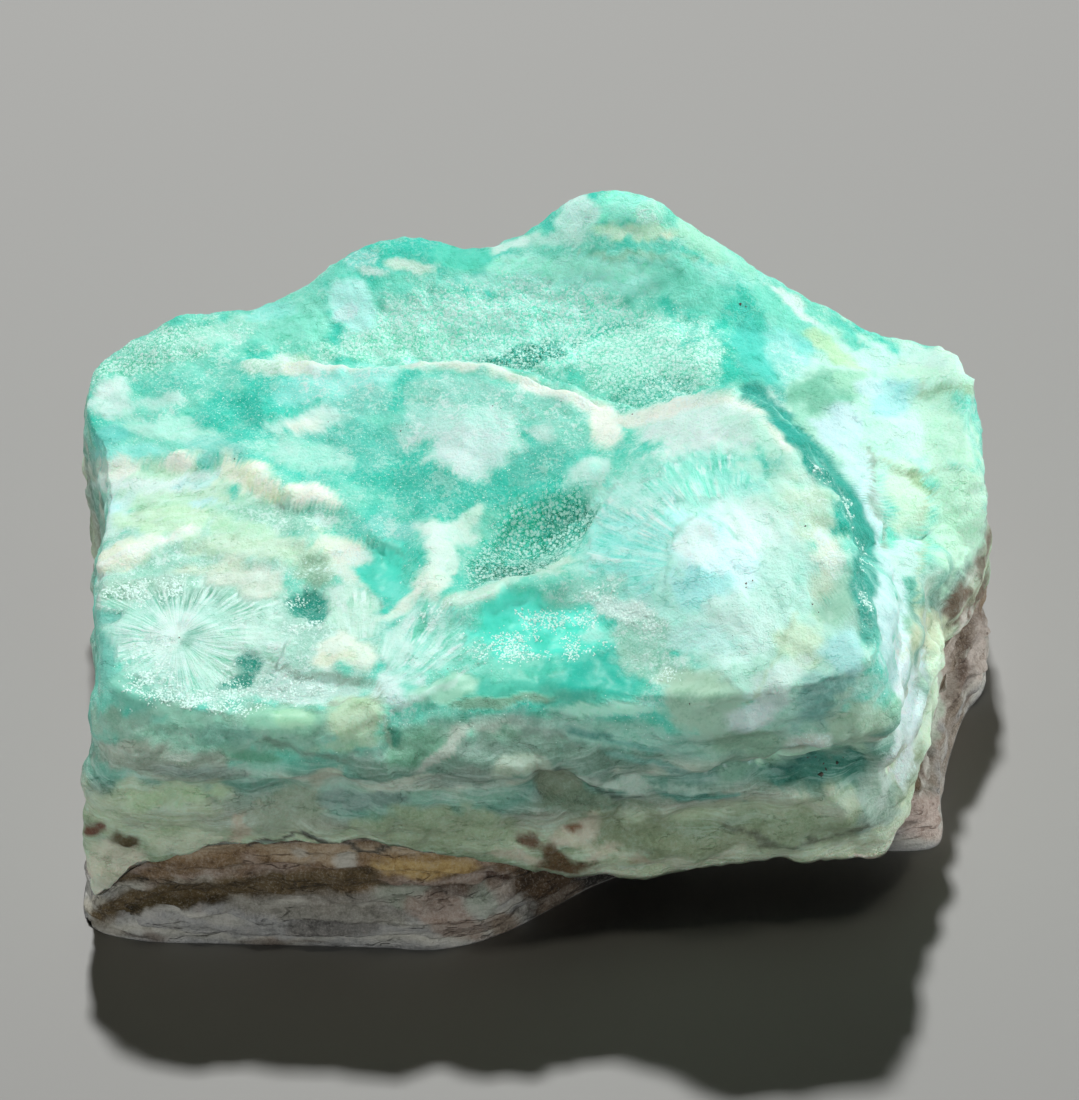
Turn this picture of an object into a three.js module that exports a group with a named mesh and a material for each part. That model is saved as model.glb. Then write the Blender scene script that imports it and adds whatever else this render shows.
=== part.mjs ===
// Smithsonite cluster: a hand-sized block of blue-green smithsonite grown on a slab of brown and grey
// host rock. Units are millimetres, +Z is up, and the origin is the middle of the flat underside. Both
// pieces are lofts: rings of points around a vertical axis, joined ring to ring and closed at both
// poles.

import * as THREE from 'three';

// ---------------------------------------------------------------- driving dimensions

const PLATEAU = 34.5;       // height of the broad top, before anything rises from it
const CONTACT = 14;         // height at which the smithsonite meets the host rock, deep inside
const GAP = 0.3;            // clearance between the two pieces
const AXIS = new THREE.Vector2(0, -2);  // the rings are drawn around this point
const BLEND = 4;            // how sharply two rises merge: the higher the number, the crisper the valley

const COLUMNS = 96;         // points on a ring
const TOP_RINGS = 20;       // rings from the axis out to the rim
const WALL_RINGS = 9;       // rings from the rim down to the lip
const CORE_RINGS = 4;       // rings on the face where the two pieces meet
const ROCK_RINGS = 5;       // rings down the host rock's side

// ---------------------------------------------------------------- outlines

// All run anticlockwise from the front-left corner.

// Edge of the top, x and y. Its height comes from the top's relief.
const RIM = [
  [-46.3, -34.5], [-40, -36.8], [-32.5, -37.5], [-25, -38.2], [-18, -37.8], [-11.5, -35.5], [-4, -35],
  [3.5, -35], [10.5, -37], [17.2, -39.5], [24.5, -38.8], [31, -37.8], [35.8, -34.5], [35.6, -28.5],
  [35, -22.5], [35.5, -15], [39, -7.5], [45.5, -1.5], [50, 4.5], [51.2, 11.5], [51.6, 19], [49, 25.8],
  [38.5, 28], [29, 30], [20, 33.4], [11, 36.6], [1.5, 36.2], [-8, 34.4], [-17, 34.8], [-25, 31.8],
  [-33.5, 28.2], [-43.5, 25.2], [-52.2, 20.2], [-53.6, 12], [-50.6, 3], [-49, -6.5], [-48, -16],
  [-47.3, -26],
];

// Lowest edge of the smithsonite, x, y and z. At the front right it overhangs the host rock.
const LIP = [
  [-50.8, -39, 4.5], [-45, -41.6, 12], [-36, -42.2, 16], [-27.5, -42.6, 17], [-19.5, -43, 18],
  [-12, -43.2, 16], [-4.5, -42.9, 14.5], [3, -41.5, 11], [10.5, -40, 9], [17.5, -39, 9],
  [25, -38.5, 10], [32.5, -37.5, 9], [38.6, -35.6, 7], [41.5, -31.5, 8.5], [43.6, -25.5, 12],
  [45.3, -18, 14], [47.5, -11, 15], [51.3, -4.5, 15], [54, 2.5, 15], [54, 9, 15], [53.8, 17.5, 14],
  [51.5, 27, 14], [40, 31.5, 13], [20, 38, 14], [1, 41, 15], [-17.5, 39.5, 14], [-35.5, 33, 15],
  [-54, 22, 14], [-54.8, 11, 15], [-51.8, 2, 14], [-50.2, -17, 12], [-50, -30, 9],
];

// Upper edge of the host rock, x, y and z.
const SEAT = [
  [-50.3, -38.4, 4], [-44.7, -41, 11.5], [-36, -41.7, 15.5], [-27.5, -42.1, 16.5], [-19.5, -42.5, 17.5],
  [-12, -42.7, 15.5], [-4.5, -41.8, 14], [2, -38.5, 12], [8, -34.5, 11], [15, -31, 11], [24, -29.5, 12],
  [34, -29.5, 11], [41, -30, 9.5], [43, -25.3, 11.5], [44.8, -17.8, 13.5], [47, -10.8, 14.5],
  [50.8, -4.3, 14.5], [53.5, 2.6, 14.5], [53.5, 9, 14.5], [53.3, 17.3, 13.5], [51, 26.6, 13.5],
  [40, 31, 12.5], [20, 37.5, 13.5], [1, 40.5, 14.5], [-17.5, 39, 13.5], [-35.3, 32.5, 14.5],
  [-53.5, 21.7, 13.5], [-54.3, 11, 14.5], [-51.3, 2, 13.5], [-49.7, -17, 11.5], [-49.5, -30, 8.5],
];

// Foot of the host rock on the surface it stands on, x and y.
const BASE = [
  [-51.8, -38.8], [-46, -41.8], [-35, -42.4], [-19, -42.9], [-11.3, -43.2], [-4.5, -41], [1.5, -37],
  [6.5, -33.5], [13, -30.5], [20, -28.5], [28, -27.5], [37, -28], [46.4, -27.5], [47.8, -20],
  [49.4, -13.4], [52, -6], [54.8, -1.5], [55.6, 4], [55.2, 12], [54.6, 22], [52, 32], [41, 38],
  [20, 42], [1, 43.4], [-18, 41.5], [-37, 36], [-52, 29.5], [-55.6, 20], [-55.4, 11], [-53, 1],
  [-51.9, -18], [-52.4, -30],
];

// ---------------------------------------------------------------- relief of the top

// Ridges: crest points x, y and rise, with the reach of the flank on the left and on the right of the
// line of travel.
const BACK_RIM = {
  crest: [
    [-52, 20, 1.8], [-43, 24.5, 2.8], [-36, 27, 2.5], [-30, 28.5, 3], [-24, 32, 6.6], [-15.5, 34, 8],
    [-7, 33.5, 6.5], [-1, 34.5, 8.6], [4, 36, 12.3], [9, 36.3, 13.4], [14, 35.5, 12.8], [21, 32, 8.9],
    [27, 29, 5.6], [33, 27.5, 3.6], [42, 27, 2.2],
  ],
  left: 14,
  right: 9,
};
const MIDDLE_RIDGE = {
  crest: [
    [-36, 17.5, 1.5], [-28, 14.8, 3.3], [-19, 12.8, 4.3], [-11.8, 13.2, 5.3], [-4.6, 10.9, 6.3],
    [2.4, 7.7, 6.4], [7, 4.9, 6.3], [11.6, 3.2, 6], [15.1, 3.1, 6.8], [18.5, 3.3, 7.6],
    [23.1, 2.5, 8.4], [26.4, -0.3, 8.5], [29.4, -6.5, 8.5], [32.2, -15.6, 7.5], [34, -23, 6.4],
    [35.7, -31, 4.4],
  ],
  left: 3.2,
  right: 15,
};
const LEFT_LEDGE = {
  crest: [
    [-54, 3.2, 1], [-43, 1.2, 1.1], [-35.4, 0.9, 1.2], [-31.9, -3.5, 1.2], [-27.4, -6.5, 1.1],
    [-22.2, -7.9, 1], [-18.6, -12.7, 0.6],
  ],
  left: 7,
  right: 1,
};
const PIT_EDGE = {
  crest: [
    [-9, -5, 1], [-11, -12, 1.5], [-12.5, -20, 1.4], [-8, -24.2, 1.9], [-4.4, -23, 2.1],
    [2.3, -21.3, 1.6], [6, -20, 0.6],
  ],
  left: 2.5,
  right: 3,
};

// Lumps and hollows: centre x and y, reach along and across, turn in degrees, rise, and flatness of the
// crown.
const RIGHT_DOME = { at: [20, -14], reach: [13.5, 23.5], turn: 0, rise: 8.3, flat: 2 };
const BASIN_MOUND = { at: [20, 19], reach: [11, 8], turn: 0, rise: 3.9, flat: 1 };
const LEFT_PLATEAU = { at: [-42, 13], reach: [16, 8], turn: 10, rise: 1.2, flat: 1 };
const BASIN_FLOOR = { at: [-2, 22], reach: [22, 8], turn: 0, rise: 1.3, flat: 1 };
const RISES = [RIGHT_DOME, BASIN_MOUND, LEFT_PLATEAU, BASIN_FLOOR];

const PIT = { at: [0, -11], reach: [6.5, 4.8], turn: 20, rise: -3, flat: 1 };
const RIGHT_FLANK = { at: [48, -11], reach: [8, 12], turn: -35, rise: -15, flat: 1 };
const RIGHT_SHOULDER = { at: [47, 3], reach: [8, 14], turn: 0, rise: -5, flat: 1 };
const RIGHT_BACK_CORNER = { at: [47, 22], reach: [9, 12], turn: 0, rise: -2.6, flat: 1 };
const LEFT_EDGE = { at: [-53, 4], reach: [6, 24], turn: 0, rise: -1.6, flat: 1 };
const FAN_HOLLOW = { at: [-25.4, -22.4], reach: [2.6, 2.2], turn: 0, rise: -1.4, flat: 1 };
const FRONT_HOLLOW = { at: [-32.5, -33.3], reach: [2.8, 2.4], turn: 0, rise: -1.2, flat: 1 };
const FRONT_LEFT_FALL = { at: [-25, -38], reach: [16, 5], turn: 0, rise: -3, flat: 1 };
const DOME_NOTCH = { at: [12, -33], reach: [6, 5], turn: 30, rise: -1.6, flat: 1 };
const FALLS = [
  PIT, RIGHT_FLANK, RIGHT_SHOULDER, RIGHT_BACK_CORNER, LEFT_EDGE, FAN_HOLLOW, FRONT_HOLLOW, FRONT_LEFT_FALL,
  DOME_NOTCH,
];

// Bulges and recesses of the side: centre x, y and z, reach around and reach in height, and how far it
// stands out.
const FRONT_LEFT_BULGE = { at: [-32, -40, 29], reach: [12, 2.2], out: 1.4 };
const FRONT_LEFT_RECESS = { at: [-32, -40, 24], reach: [16, 1.8], out: -1 };
const CORNER_BULGE = { at: [-50, -38, 12], reach: [7, 6], out: 0.8 };
const DOME_BROW = { at: [22, -39, 31.5], reach: [14, 3], out: 1.6 };
const WINDOW = { at: [29, -38, 24], reach: [7, 2.4], out: -3.6 };
const FRONT_RIGHT_LIP = { at: [22, -38, 10], reach: [18, 3], out: 1 };
const FRONT_BAND = { at: [-1, -40, 27], reach: [9, 3], out: 1.2 };
const LEFT_HOLLOW = { at: [-50, -6, 24], reach: [9, 6], out: -1.2 };
const BACK_LEFT_BULGE = { at: [-22, 36, 26], reach: [14, 6], out: 2.2 };
const BACK_HOLLOW = { at: [6, 39, 28], reach: [10, 7], out: -2.4 };
const BACK_RIGHT_BULGE = { at: [30, 33, 22], reach: [11, 5], out: 1.8 };
const SIDE_LUMPS = [
  FRONT_LEFT_BULGE, FRONT_LEFT_RECESS, CORNER_BULGE, DOME_BROW, WINDOW, FRONT_RIGHT_LIP, FRONT_BAND,
  LEFT_HOLLOW, BACK_LEFT_BULGE, BACK_HOLLOW, BACK_RIGHT_BULGE,
];

// The side shows the growth layers as wavy bands: pitch in height, how far they wander, and how far
// they stand out.
const BANDS = { pitch: 6.5, wander: 1.6, wanderLength: 42, out: 0.45 };

// Layers of the host rock: height, half height and how far each one stands out.
const BROWN_LAYER = { z: 12, half: 1.8, out: 0.8 };
const WASHED_OUT_LAYER = { z: 8, half: 1.6, out: -0.9 };
const GREY_LAYER = { z: 4, half: 2.2, out: 0.6 };
const ROCK_LAYERS = [BROWN_LAYER, WASHED_OUT_LAYER, GREY_LAYER];

// ---------------------------------------------------------------- shape functions

const vector = ([x, y, z = 0]) => new THREE.Vector3(x, y, z);

// A smooth line of points through the crest of a ridge.
const CREST_STEPS = 5;
function crestLine(ridge) {
  const curve = new THREE.CatmullRomCurve3(ridge.crest.map(vector), false, 'catmullrom', 0.5);
  return curve.getPoints((ridge.crest.length - 1) * CREST_STEPS);
}

// Rise of a ridge at a point: the crest's height, faded by a bell curve of the distance to the crest.
function ridgeRise(ridge, x, y) {
  ridge.line ??= crestLine(ridge);
  let nearest = Infinity;
  let rise = 0;
  for (let i = 1; i < ridge.line.length; i += 1) {
    const a = ridge.line[i - 1];
    const b = ridge.line[i];
    const dx = b.x - a.x;
    const dy = b.y - a.y;
    const along = THREE.MathUtils.clamp(((x - a.x) * dx + (y - a.y) * dy) / (dx * dx + dy * dy), 0, 1);
    const px = x - a.x - along * dx;
    const py = y - a.y - along * dy;
    const distance = Math.hypot(px, py);
    if (distance < nearest) {
      nearest = distance;
      const reach = dx * py - dy * px > 0 ? ridge.left : ridge.right;
      rise = THREE.MathUtils.lerp(a.z, b.z, along) * Math.exp(-((distance / reach) ** 2));
    }
  }
  return rise;
}

// Rise of a lump at a point: a bell curve on a turned ellipse.
function lumpRise(lump, x, y) {
  const turn = THREE.MathUtils.degToRad(lump.turn);
  const dx = x - lump.at[0];
  const dy = y - lump.at[1];
  const along = (dx * Math.cos(turn) + dy * Math.sin(turn)) / lump.reach[0];
  const across = (dy * Math.cos(turn) - dx * Math.sin(turn)) / lump.reach[1];
  return lump.rise * Math.exp(-((along * along + across * across) ** lump.flat));
}

// Height of the top: the large rises merge by a power mean, and the rest is added.
function topHeight(x, y) {
  const large = [BACK_RIM, MIDDLE_RIDGE].map((ridge) => ridgeRise(ridge, x, y));
  large.push(...RISES.map((lump) => lumpRise(lump, x, y)));
  const merged = large.reduce((sum, rise) => sum + rise ** BLEND, 0) ** (1 / BLEND);
  const small = [LEFT_LEDGE, PIT_EDGE].reduce((sum, ridge) => sum + ridgeRise(ridge, x, y), 0);
  return PLATEAU + merged + small + FALLS.reduce((sum, lump) => sum + lumpRise(lump, x, y), 0);
}

// How far the side stands out at a point.
function sideOut(x, y, z) {
  return SIDE_LUMPS.reduce((sum, lump) => {
    const around = Math.hypot(x - lump.at[0], y - lump.at[1]) / lump.reach[0];
    const height = (z - lump.at[2]) / lump.reach[1];
    return sum + lump.out * Math.exp(-(around ** 2) - height ** 2);
  }, 0);
}

// How far the host rock's layers stand out at a height.
function layerOut(z) {
  const share = (layer) => layer.out * Math.exp(-(((z - layer.z) / layer.half) ** 2));
  return ROCK_LAYERS.reduce((sum, layer) => sum + share(layer), 0);
}

// How far the growth layers stand out at a point.
function bandOut(x, y, z) {
  const wander = BANDS.wander * Math.sin(2 * Math.PI * (x - y) / BANDS.wanderLength);
  return BANDS.out * Math.sin(2 * Math.PI * (z + wander) / BANDS.pitch);
}

// Broken-stone unevenness: three crossing waves, from -1 to 1.
function unevenness({ x, y, z }) {
  const long = Math.sin(0.61 * x + 0.37 * y + 0.3 * z);
  const cross = Math.sin(0.43 * x - 0.71 * y + 1.3);
  const steep = Math.sin(0.29 * x + 0.23 * y - 0.93 * z + 2.1);
  return (long * cross + steep * long + cross * steep) / 3;
}

// ---------------------------------------------------------------- rings

const OUTLINE_STEPS = 16;
function smoothOutline(points) {
  const curve = new THREE.CatmullRomCurve3(points.map(vector), true, 'catmullrom', 0.5);
  return curve.getPoints(points.length * OUTLINE_STEPS);
}

const bearing = (point) => Math.atan2(point.y - AXIS.y, point.x - AXIS.x);

// The point where a ray from the axis at this bearing crosses the outline.
function crossing(outline, angle) {
  const full = 2 * Math.PI;
  const turnTo = (point) => {
    const turn = bearing(point) - angle;
    return THREE.MathUtils.euclideanModulo(turn + Math.PI, full) - Math.PI;
  };
  for (let i = 1; i < outline.length; i += 1) {
    const before = turnTo(outline[i - 1]);
    const after = turnTo(outline[i]);
    if (before <= 0 && after > 0 && after - before < 1) {
      return outline[i - 1].clone().lerp(outline[i], -before / (after - before));
    }
  }
  throw new Error(`no outline point at bearing ${angle}`);
}

// Bearings spaced evenly along the lip, so that the rings' points are about equally far apart.
const lipCurve = new THREE.CatmullRomCurve3(LIP.map(([x, y]) => vector([x, y])), true, 'catmullrom', 0.5);
const bearings = lipCurve.getSpacedPoints(COLUMNS).slice(0, COLUMNS).map(bearing);
const ringOf = (points) => {
  const outline = smoothOutline(points);
  return bearings.map((angle) => crossing(outline, angle));
};

const rim = ringOf(RIM).map((point) => point.setZ(topHeight(point.x, point.y)));
const lip = ringOf(LIP);
const seat = ringOf(SEAT);
const base = ringOf(BASE);

const outward = (point) => new THREE.Vector3(point.x - AXIS.x, point.y - AXIS.y, 0).normalize();
const axisPoint = (z) => new THREE.Vector3(AXIS.x, AXIS.y, z);
const steps = (count) => Array.from({ length: count }, (_, i) => (i + 1) / count);

// Rings of the top, from the axis out to the rim.
const TOP_UNEVENNESS = 0.5;
const topRings = steps(TOP_RINGS).map((share) => rim.map((edge) => {
  const point = axisPoint(0).lerp(edge, share);
  point.z = topHeight(point.x, point.y);
  point.z += TOP_UNEVENNESS * unevenness(point);
  return point;
}));

// Rings of the smithsonite's side. It rolls over the rim, then falls steeply to the lip.
const ROLL_OUT = 2.2;
const ROLL_DOWN = 1.35;
const SIDE_UNEVENNESS = 0.6;
const wallRings = steps(WALL_RINGS).map((share) => rim.map((edge, k) => {
  const point = edge.clone().lerp(lip[k], 1 - (1 - share) ** ROLL_OUT);
  point.z = THREE.MathUtils.lerp(edge.z, lip[k].z, share ** ROLL_DOWN);
  const form = sideOut(point.x, point.y, point.z) + bandOut(point.x, point.y, point.z);
  const relief = form + SIDE_UNEVENNESS * unevenness(point);
  return point.addScaledVector(outward(point), relief * Math.sqrt(Math.sin(Math.PI * share)));
}));

// Rings of the face where the pieces meet, from the seat in towards the axis, lifted by a given amount.
const coreRings = (lift) => steps(CORE_RINGS).reverse().map((share) => seat.map((edge) => {
  const point = axisPoint(0).lerp(edge, share);
  point.z = THREE.MathUtils.lerp(CONTACT, edge.z, share * share) + lift;
  return point;
}));

// Rings of the host rock's side, from below the seat down to the foot.
const ROCK_UNEVENNESS = 0.8;
const rockRings = steps(ROCK_RINGS).map((share) => seat.map((edge, k) => {
  const point = edge.clone().lerp(base[k], share);
  const relief = layerOut(point.z) + ROCK_UNEVENNESS * unevenness(point);
  return point.addScaledVector(outward(point), relief * Math.sin(Math.PI * share));
}));

// ---------------------------------------------------------------- solids

// A closed solid through a list of rings, with a point on the axis at each end.
function loft(first, rings, last) {
  const points = [first, ...rings.flat(), last];
  const index = [];
  const at = (ring, column) => 1 + ring * COLUMNS + (column % COLUMNS);
  for (let column = 0; column < COLUMNS; column += 1) {
    index.push(0, at(0, column), at(0, column + 1));
    for (let ring = 1; ring < rings.length; ring += 1) {
      index.push(at(ring - 1, column), at(ring, column), at(ring - 1, column + 1));
      index.push(at(ring - 1, column + 1), at(ring, column), at(ring, column + 1));
    }
    index.push(points.length - 1, at(rings.length - 1, column + 1), at(rings.length - 1, column));
  }
  const geometry = new THREE.BufferGeometry().setFromPoints(points);
  geometry.setIndex(index);
  geometry.computeVertexNormals();
  return geometry;
}

function smithsonite() {
  const top = axisPoint(topHeight(AXIS.x, AXIS.y));
  const rings = [...topRings, ...wallRings, ...coreRings(GAP)];
  const geometry = loft(top, rings, axisPoint(CONTACT + GAP));
  const material = new THREE.MeshStandardMaterial({ color: 0x8fe0cd, roughness: 0.45, metalness: 0 });
  const mesh = new THREE.Mesh(geometry, material);
  mesh.name = 'smithsonite';
  return mesh;
}

function matrix() {
  const rings = [...coreRings(0).reverse(), ...rockRings];
  const geometry = loft(axisPoint(CONTACT), rings, axisPoint(0));
  const material = new THREE.MeshStandardMaterial({ color: 0x7d7262, roughness: 0.9, metalness: 0 });
  const mesh = new THREE.Mesh(geometry, material);
  mesh.name = 'matrix';
  return mesh;
}

const specimen = new THREE.Group();
specimen.add(smithsonite(), matrix());

export default specimen;
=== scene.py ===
# %% [markdown]
# # Smithsonite cluster
# The real object is a hand-sized block of blue-green smithsonite that grew, layer on layer, over a slab
# of brown and grey host rock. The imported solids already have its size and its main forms. This script
# dresses them: it makes a finer surface for each of the two pieces, sows tiny crystals where the real
# stone is sugary, and gives each piece a material made of nodes.
#
# Everything is worked out in millimetres and turned into metres only when a mesh is made. Z is up, and
# the origin is the middle of the flat underside.

import bpy
import numpy as np
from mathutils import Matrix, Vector


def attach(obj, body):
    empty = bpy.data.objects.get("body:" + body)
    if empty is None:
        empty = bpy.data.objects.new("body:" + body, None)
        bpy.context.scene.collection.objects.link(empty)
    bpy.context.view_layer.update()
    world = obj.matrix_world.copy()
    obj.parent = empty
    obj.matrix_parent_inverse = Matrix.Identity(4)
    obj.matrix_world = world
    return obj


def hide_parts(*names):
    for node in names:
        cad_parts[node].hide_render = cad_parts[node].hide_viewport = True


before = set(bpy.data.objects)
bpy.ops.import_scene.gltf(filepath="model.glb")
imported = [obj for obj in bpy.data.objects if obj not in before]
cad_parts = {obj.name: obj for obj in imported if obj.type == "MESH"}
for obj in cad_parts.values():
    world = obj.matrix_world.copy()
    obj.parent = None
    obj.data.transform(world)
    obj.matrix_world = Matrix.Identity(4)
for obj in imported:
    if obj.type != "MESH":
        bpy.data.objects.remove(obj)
MM = 0.001
scene = bpy.context.scene
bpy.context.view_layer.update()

# %% [markdown]
# ## Camera
# A stone this size is looked at from about 36 cm, from in front and well above, so that the top fills
# most of the view. A long lens keeps the sides from spreading. The camera could be turned with a
# constraint, but working its rotation out once keeps the scene free of anything that moves by itself.

# %% Camera
CAMERA_AT = Vector((0.0, -267.5, 262.9)) * MM
LOOKED_AT = Vector((0.0, 0.0, 22.0)) * MM
FOCAL_LENGTH = 98.97


def turn_towards(obj, target):
    """Turns a camera or light so that it looks at the target, its own up side staying upwards."""
    obj.rotation_euler = (target - obj.location).to_track_quat("-Z", "Y").to_euler()


camera = bpy.data.objects.new("camera", bpy.data.cameras.new("camera"))
scene.collection.objects.link(camera)
camera.data.lens = FOCAL_LENGTH
camera.location = CAMERA_AT
turn_towards(camera, LOOKED_AT)
scene.camera = camera
print("camera", round((CAMERA_AT - LOOKED_AT).length / MM), "mm from the stone")

# %% [markdown]
# ## Noise
# Stone is never smooth, and it is never random either: each growth layer and each break repeats the one
# before it with small changes. Noise gives that. Blender's own displace modifier could do it, but noise
# worked out here can follow the layers, be stronger in one place than in another, and also steer the
# colours, so the two kinds that stone needs are written out: a rolling one, and one made of cells.


# %% Rolling noise
HILL_GAIN = 1.8  # brings the hills to about -1 and 1
OCTAVE_SHIFT = 7.3  # sets each finer layer off from the one before


def scramble(cells, seed):
    """A repeatable random number from 0 to 1 for each whole-number cell: its three indices are
    multiplied by large odd numbers and added, and the bits of the sum are shifted and mixed."""
    index = cells.astype(np.int64).astype(np.uint32)
    mixed = index[..., 0] * np.uint32(374761393) + index[..., 1] * np.uint32(668265263)
    mixed = mixed + index[..., 2] * np.uint32(2246822519) + np.uint32(seed * 3266489917 % 2**32)
    mixed = (mixed ^ (mixed >> np.uint32(15))) * np.uint32(2654435761)
    mixed = (mixed ^ (mixed >> np.uint32(13))) * np.uint32(1274126177)
    return (mixed ^ (mixed >> np.uint32(16))).astype(np.float64) / 2**32


def rolling(points, seed=0):
    """Rolling noise from about -1 to 1, with hills one unit apart: each corner of a cell has a random
    slope, and a point mixes what the eight slopes around it say by a curve that is flat at both ends."""
    cell = np.floor(points)
    within = points - cell
    blend = within**3 * (within * (within * 6 - 15) + 10)
    total = np.zeros(len(points))
    for corner in np.ndindex(2, 2, 2):
        offset = np.array(corner)
        weight = np.prod(np.where(offset, blend, 1 - blend), axis=1)
        slopes = [scramble(cell + offset, seed * 3 + k) * 2 - 1 for k in range(3)]
        total += weight * sum(slopes[k] * (within[:, k] - offset[k]) for k in range(3))
    return total * HILL_GAIN


def layered(points, octaves=4, seed=0):
    """Rolling noise with detail: each further layer is twice as fine and half as strong."""
    return sum(rolling(points * 2**k + OCTAVE_SHIFT * k, seed + k) / 2**k for k in range(octaves))


sample = np.random.default_rng(1).random((9999, 3)) * 50
print("rolling noise runs from", rolling(sample).min().round(2), "to", rolling(sample).max().round(2))

# %% Noise made of cells
FAR = 9.0  # further than any point's nearest neighbour
WALL = 0.1  # how far each cube's point keeps from its walls


def cells(points, seed=0):
    """Each unit cube holds one point at a random place. Gives the distance to the nearest one, how much
    further the second nearest is, and a random number that is the same all over one cell."""
    cell = np.floor(points)
    nearest = np.full(len(points), FAR)
    second = np.full(len(points), FAR)
    owner = np.zeros(len(points))
    for step in np.ndindex(3, 3, 3):
        other = cell + np.array(step) - 1
        place = np.stack([scramble(other, seed * 5 + k) for k in range(3)], axis=1)
        distance = np.linalg.norm(other + WALL + (1 - 2 * WALL) * place - points, axis=1)
        closer = distance < nearest
        second = np.where(closer, nearest, np.minimum(second, distance))
        owner = np.where(closer, scramble(other, seed * 5 + 3), owner)
        nearest = np.minimum(nearest, distance)
    return nearest, second - nearest, owner


def ramp(value, low, high):
    """0 below low, 1 above high, and a curve that is flat at both ends between them."""
    share = np.clip((value - low) / (high - low), 0, 1)
    return share * share * (3 - 2 * share)


print("a point is", cells(sample)[0].mean().round(2), "from the nearest of the cells' points, on average")

# %% [markdown]
# ## The main forms
# The block is a wavy top, a rim where it rolls over, and a broken side. The same named values as the
# solids have are used here, so that the fine surface lies on the solid one: four closed outlines, two
# long ridges and some lumps and hollows. Sculpting by hand could give the same forms, but then nothing
# would hold them to the solids.

# %% Outlines, anticlockwise from the front-left corner
AXIS = np.array([0.0, -2.0])
RIM = [
    (-46.3, -34.5), (-40, -36.8), (-32.5, -37.5), (-25, -38.2), (-18, -37.8), (-11.5, -35.5), (-4, -35),
    (3.5, -35), (10.5, -37), (17.2, -39.5), (24.5, -38.8), (31, -37.8), (35.8, -34.5), (35.6, -28.5),
    (35, -22.5), (35.5, -15), (39, -7.5), (45.5, -1.5), (50, 4.5), (51.2, 11.5), (51.6, 19), (49, 25.8),
    (38.5, 28), (29, 30), (20, 33.4), (11, 36.6), (1.5, 36.2), (-8, 34.4), (-17, 34.8), (-25, 31.8),
    (-33.5, 28.2), (-43.5, 25.2), (-52.2, 20.2), (-53.6, 12), (-50.6, 3), (-49, -6.5), (-48, -16),
    (-47.3, -26),
]
LIP = [
    (-50.8, -39, 4.5), (-45, -41.6, 12), (-36, -42.2, 16), (-27.5, -42.6, 17), (-19.5, -43, 18),
    (-12, -43.2, 16), (-4.5, -42.9, 14.5), (3, -41.5, 11), (10.5, -40, 9), (17.5, -39, 9),
    (25, -38.5, 10), (32.5, -37.5, 9), (38.6, -35.6, 7), (41.5, -31.5, 8.5), (43.6, -25.5, 12),
    (45.3, -18, 14), (47.5, -11, 15), (51.3, -4.5, 15), (54, 2.5, 15), (54, 9, 15), (53.8, 17.5, 14),
    (51.5, 27, 14), (40, 31.5, 13), (20, 38, 14), (1, 41, 15), (-17.5, 39.5, 14), (-35.5, 33, 15),
    (-54, 22, 14), (-54.8, 11, 15), (-51.8, 2, 14), (-50.2, -17, 12), (-50, -30, 9),
]
SEAT = [
    (-50.3, -38.4, 4), (-44.7, -41, 11.5), (-36, -41.7, 15.5), (-27.5, -42.1, 16.5),
    (-19.5, -42.5, 17.5), (-12, -42.7, 15.5), (-4.5, -41.8, 14), (2, -38.5, 12), (8, -34.5, 11),
    (15, -31, 11), (24, -29.5, 12), (34, -29.5, 11), (41, -30, 9.5), (43, -25.3, 11.5),
    (44.8, -17.8, 13.5), (47, -10.8, 14.5), (50.8, -4.3, 14.5), (53.5, 2.6, 14.5), (53.5, 9, 14.5),
    (53.3, 17.3, 13.5), (51, 26.6, 13.5), (40, 31, 12.5), (20, 37.5, 13.5), (1, 40.5, 14.5),
    (-17.5, 39, 13.5), (-35.3, 32.5, 14.5), (-53.5, 21.7, 13.5), (-54.3, 11, 14.5), (-51.3, 2, 13.5),
    (-49.7, -17, 11.5), (-49.5, -30, 8.5),
]
BASE = [
    (-51.8, -38.8), (-46, -41.8), (-35, -42.4), (-19, -42.9), (-11.3, -43.2), (-4.5, -41), (1.5, -37),
    (6.5, -33.5), (13, -30.5), (20, -28.5), (28, -27.5), (37, -28), (46.4, -27.5), (47.8, -20),
    (49.4, -13.4), (52, -6), (54.8, -1.5), (55.6, 4), (55.2, 12), (54.6, 22), (52, 32), (41, 38),
    (20, 42), (1, 43.4), (-18, 41.5), (-37, 36), (-52, 29.5), (-55.6, 20), (-55.4, 11), (-53, 1),
    (-51.9, -18), (-52.4, -30),
]

print(len(RIM), "points for the rim,", len(LIP), "for the lip")

# %% Smooth lines
OUTLINE_STEPS = 16  # points on a smooth outline for each one given
CREST_STEPS = 5  # the same for a crest
DRAWN_STEPS = 3  # and for a line drawn in the view


def smooth_line(points, steps, closed):
    """Points along a smooth line: each stretch is a cubic whose direction at a given point is half the
    way between that point's two neighbours."""
    given = np.array(points, float)
    if closed:
        given = np.vstack([given[-1], given, given[:2]])
    else:
        given = np.vstack([2 * given[0] - given[1], given, 2 * given[-1] - given[-2]])
    a, b, c, d = (given[k : len(given) - 3 + k, None] for k in range(4))
    t = (np.arange(steps) / steps)[None, :, None]
    curve = 2 * b + (c - a) * t + (2 * a - 5 * b + 4 * c - d) * t**2 + (3 * b - 3 * c + d - a) * t**3
    curve = 0.5 * curve.reshape(-1, given.shape[1])
    return curve if closed else np.vstack([curve, given[-2]])


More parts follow.
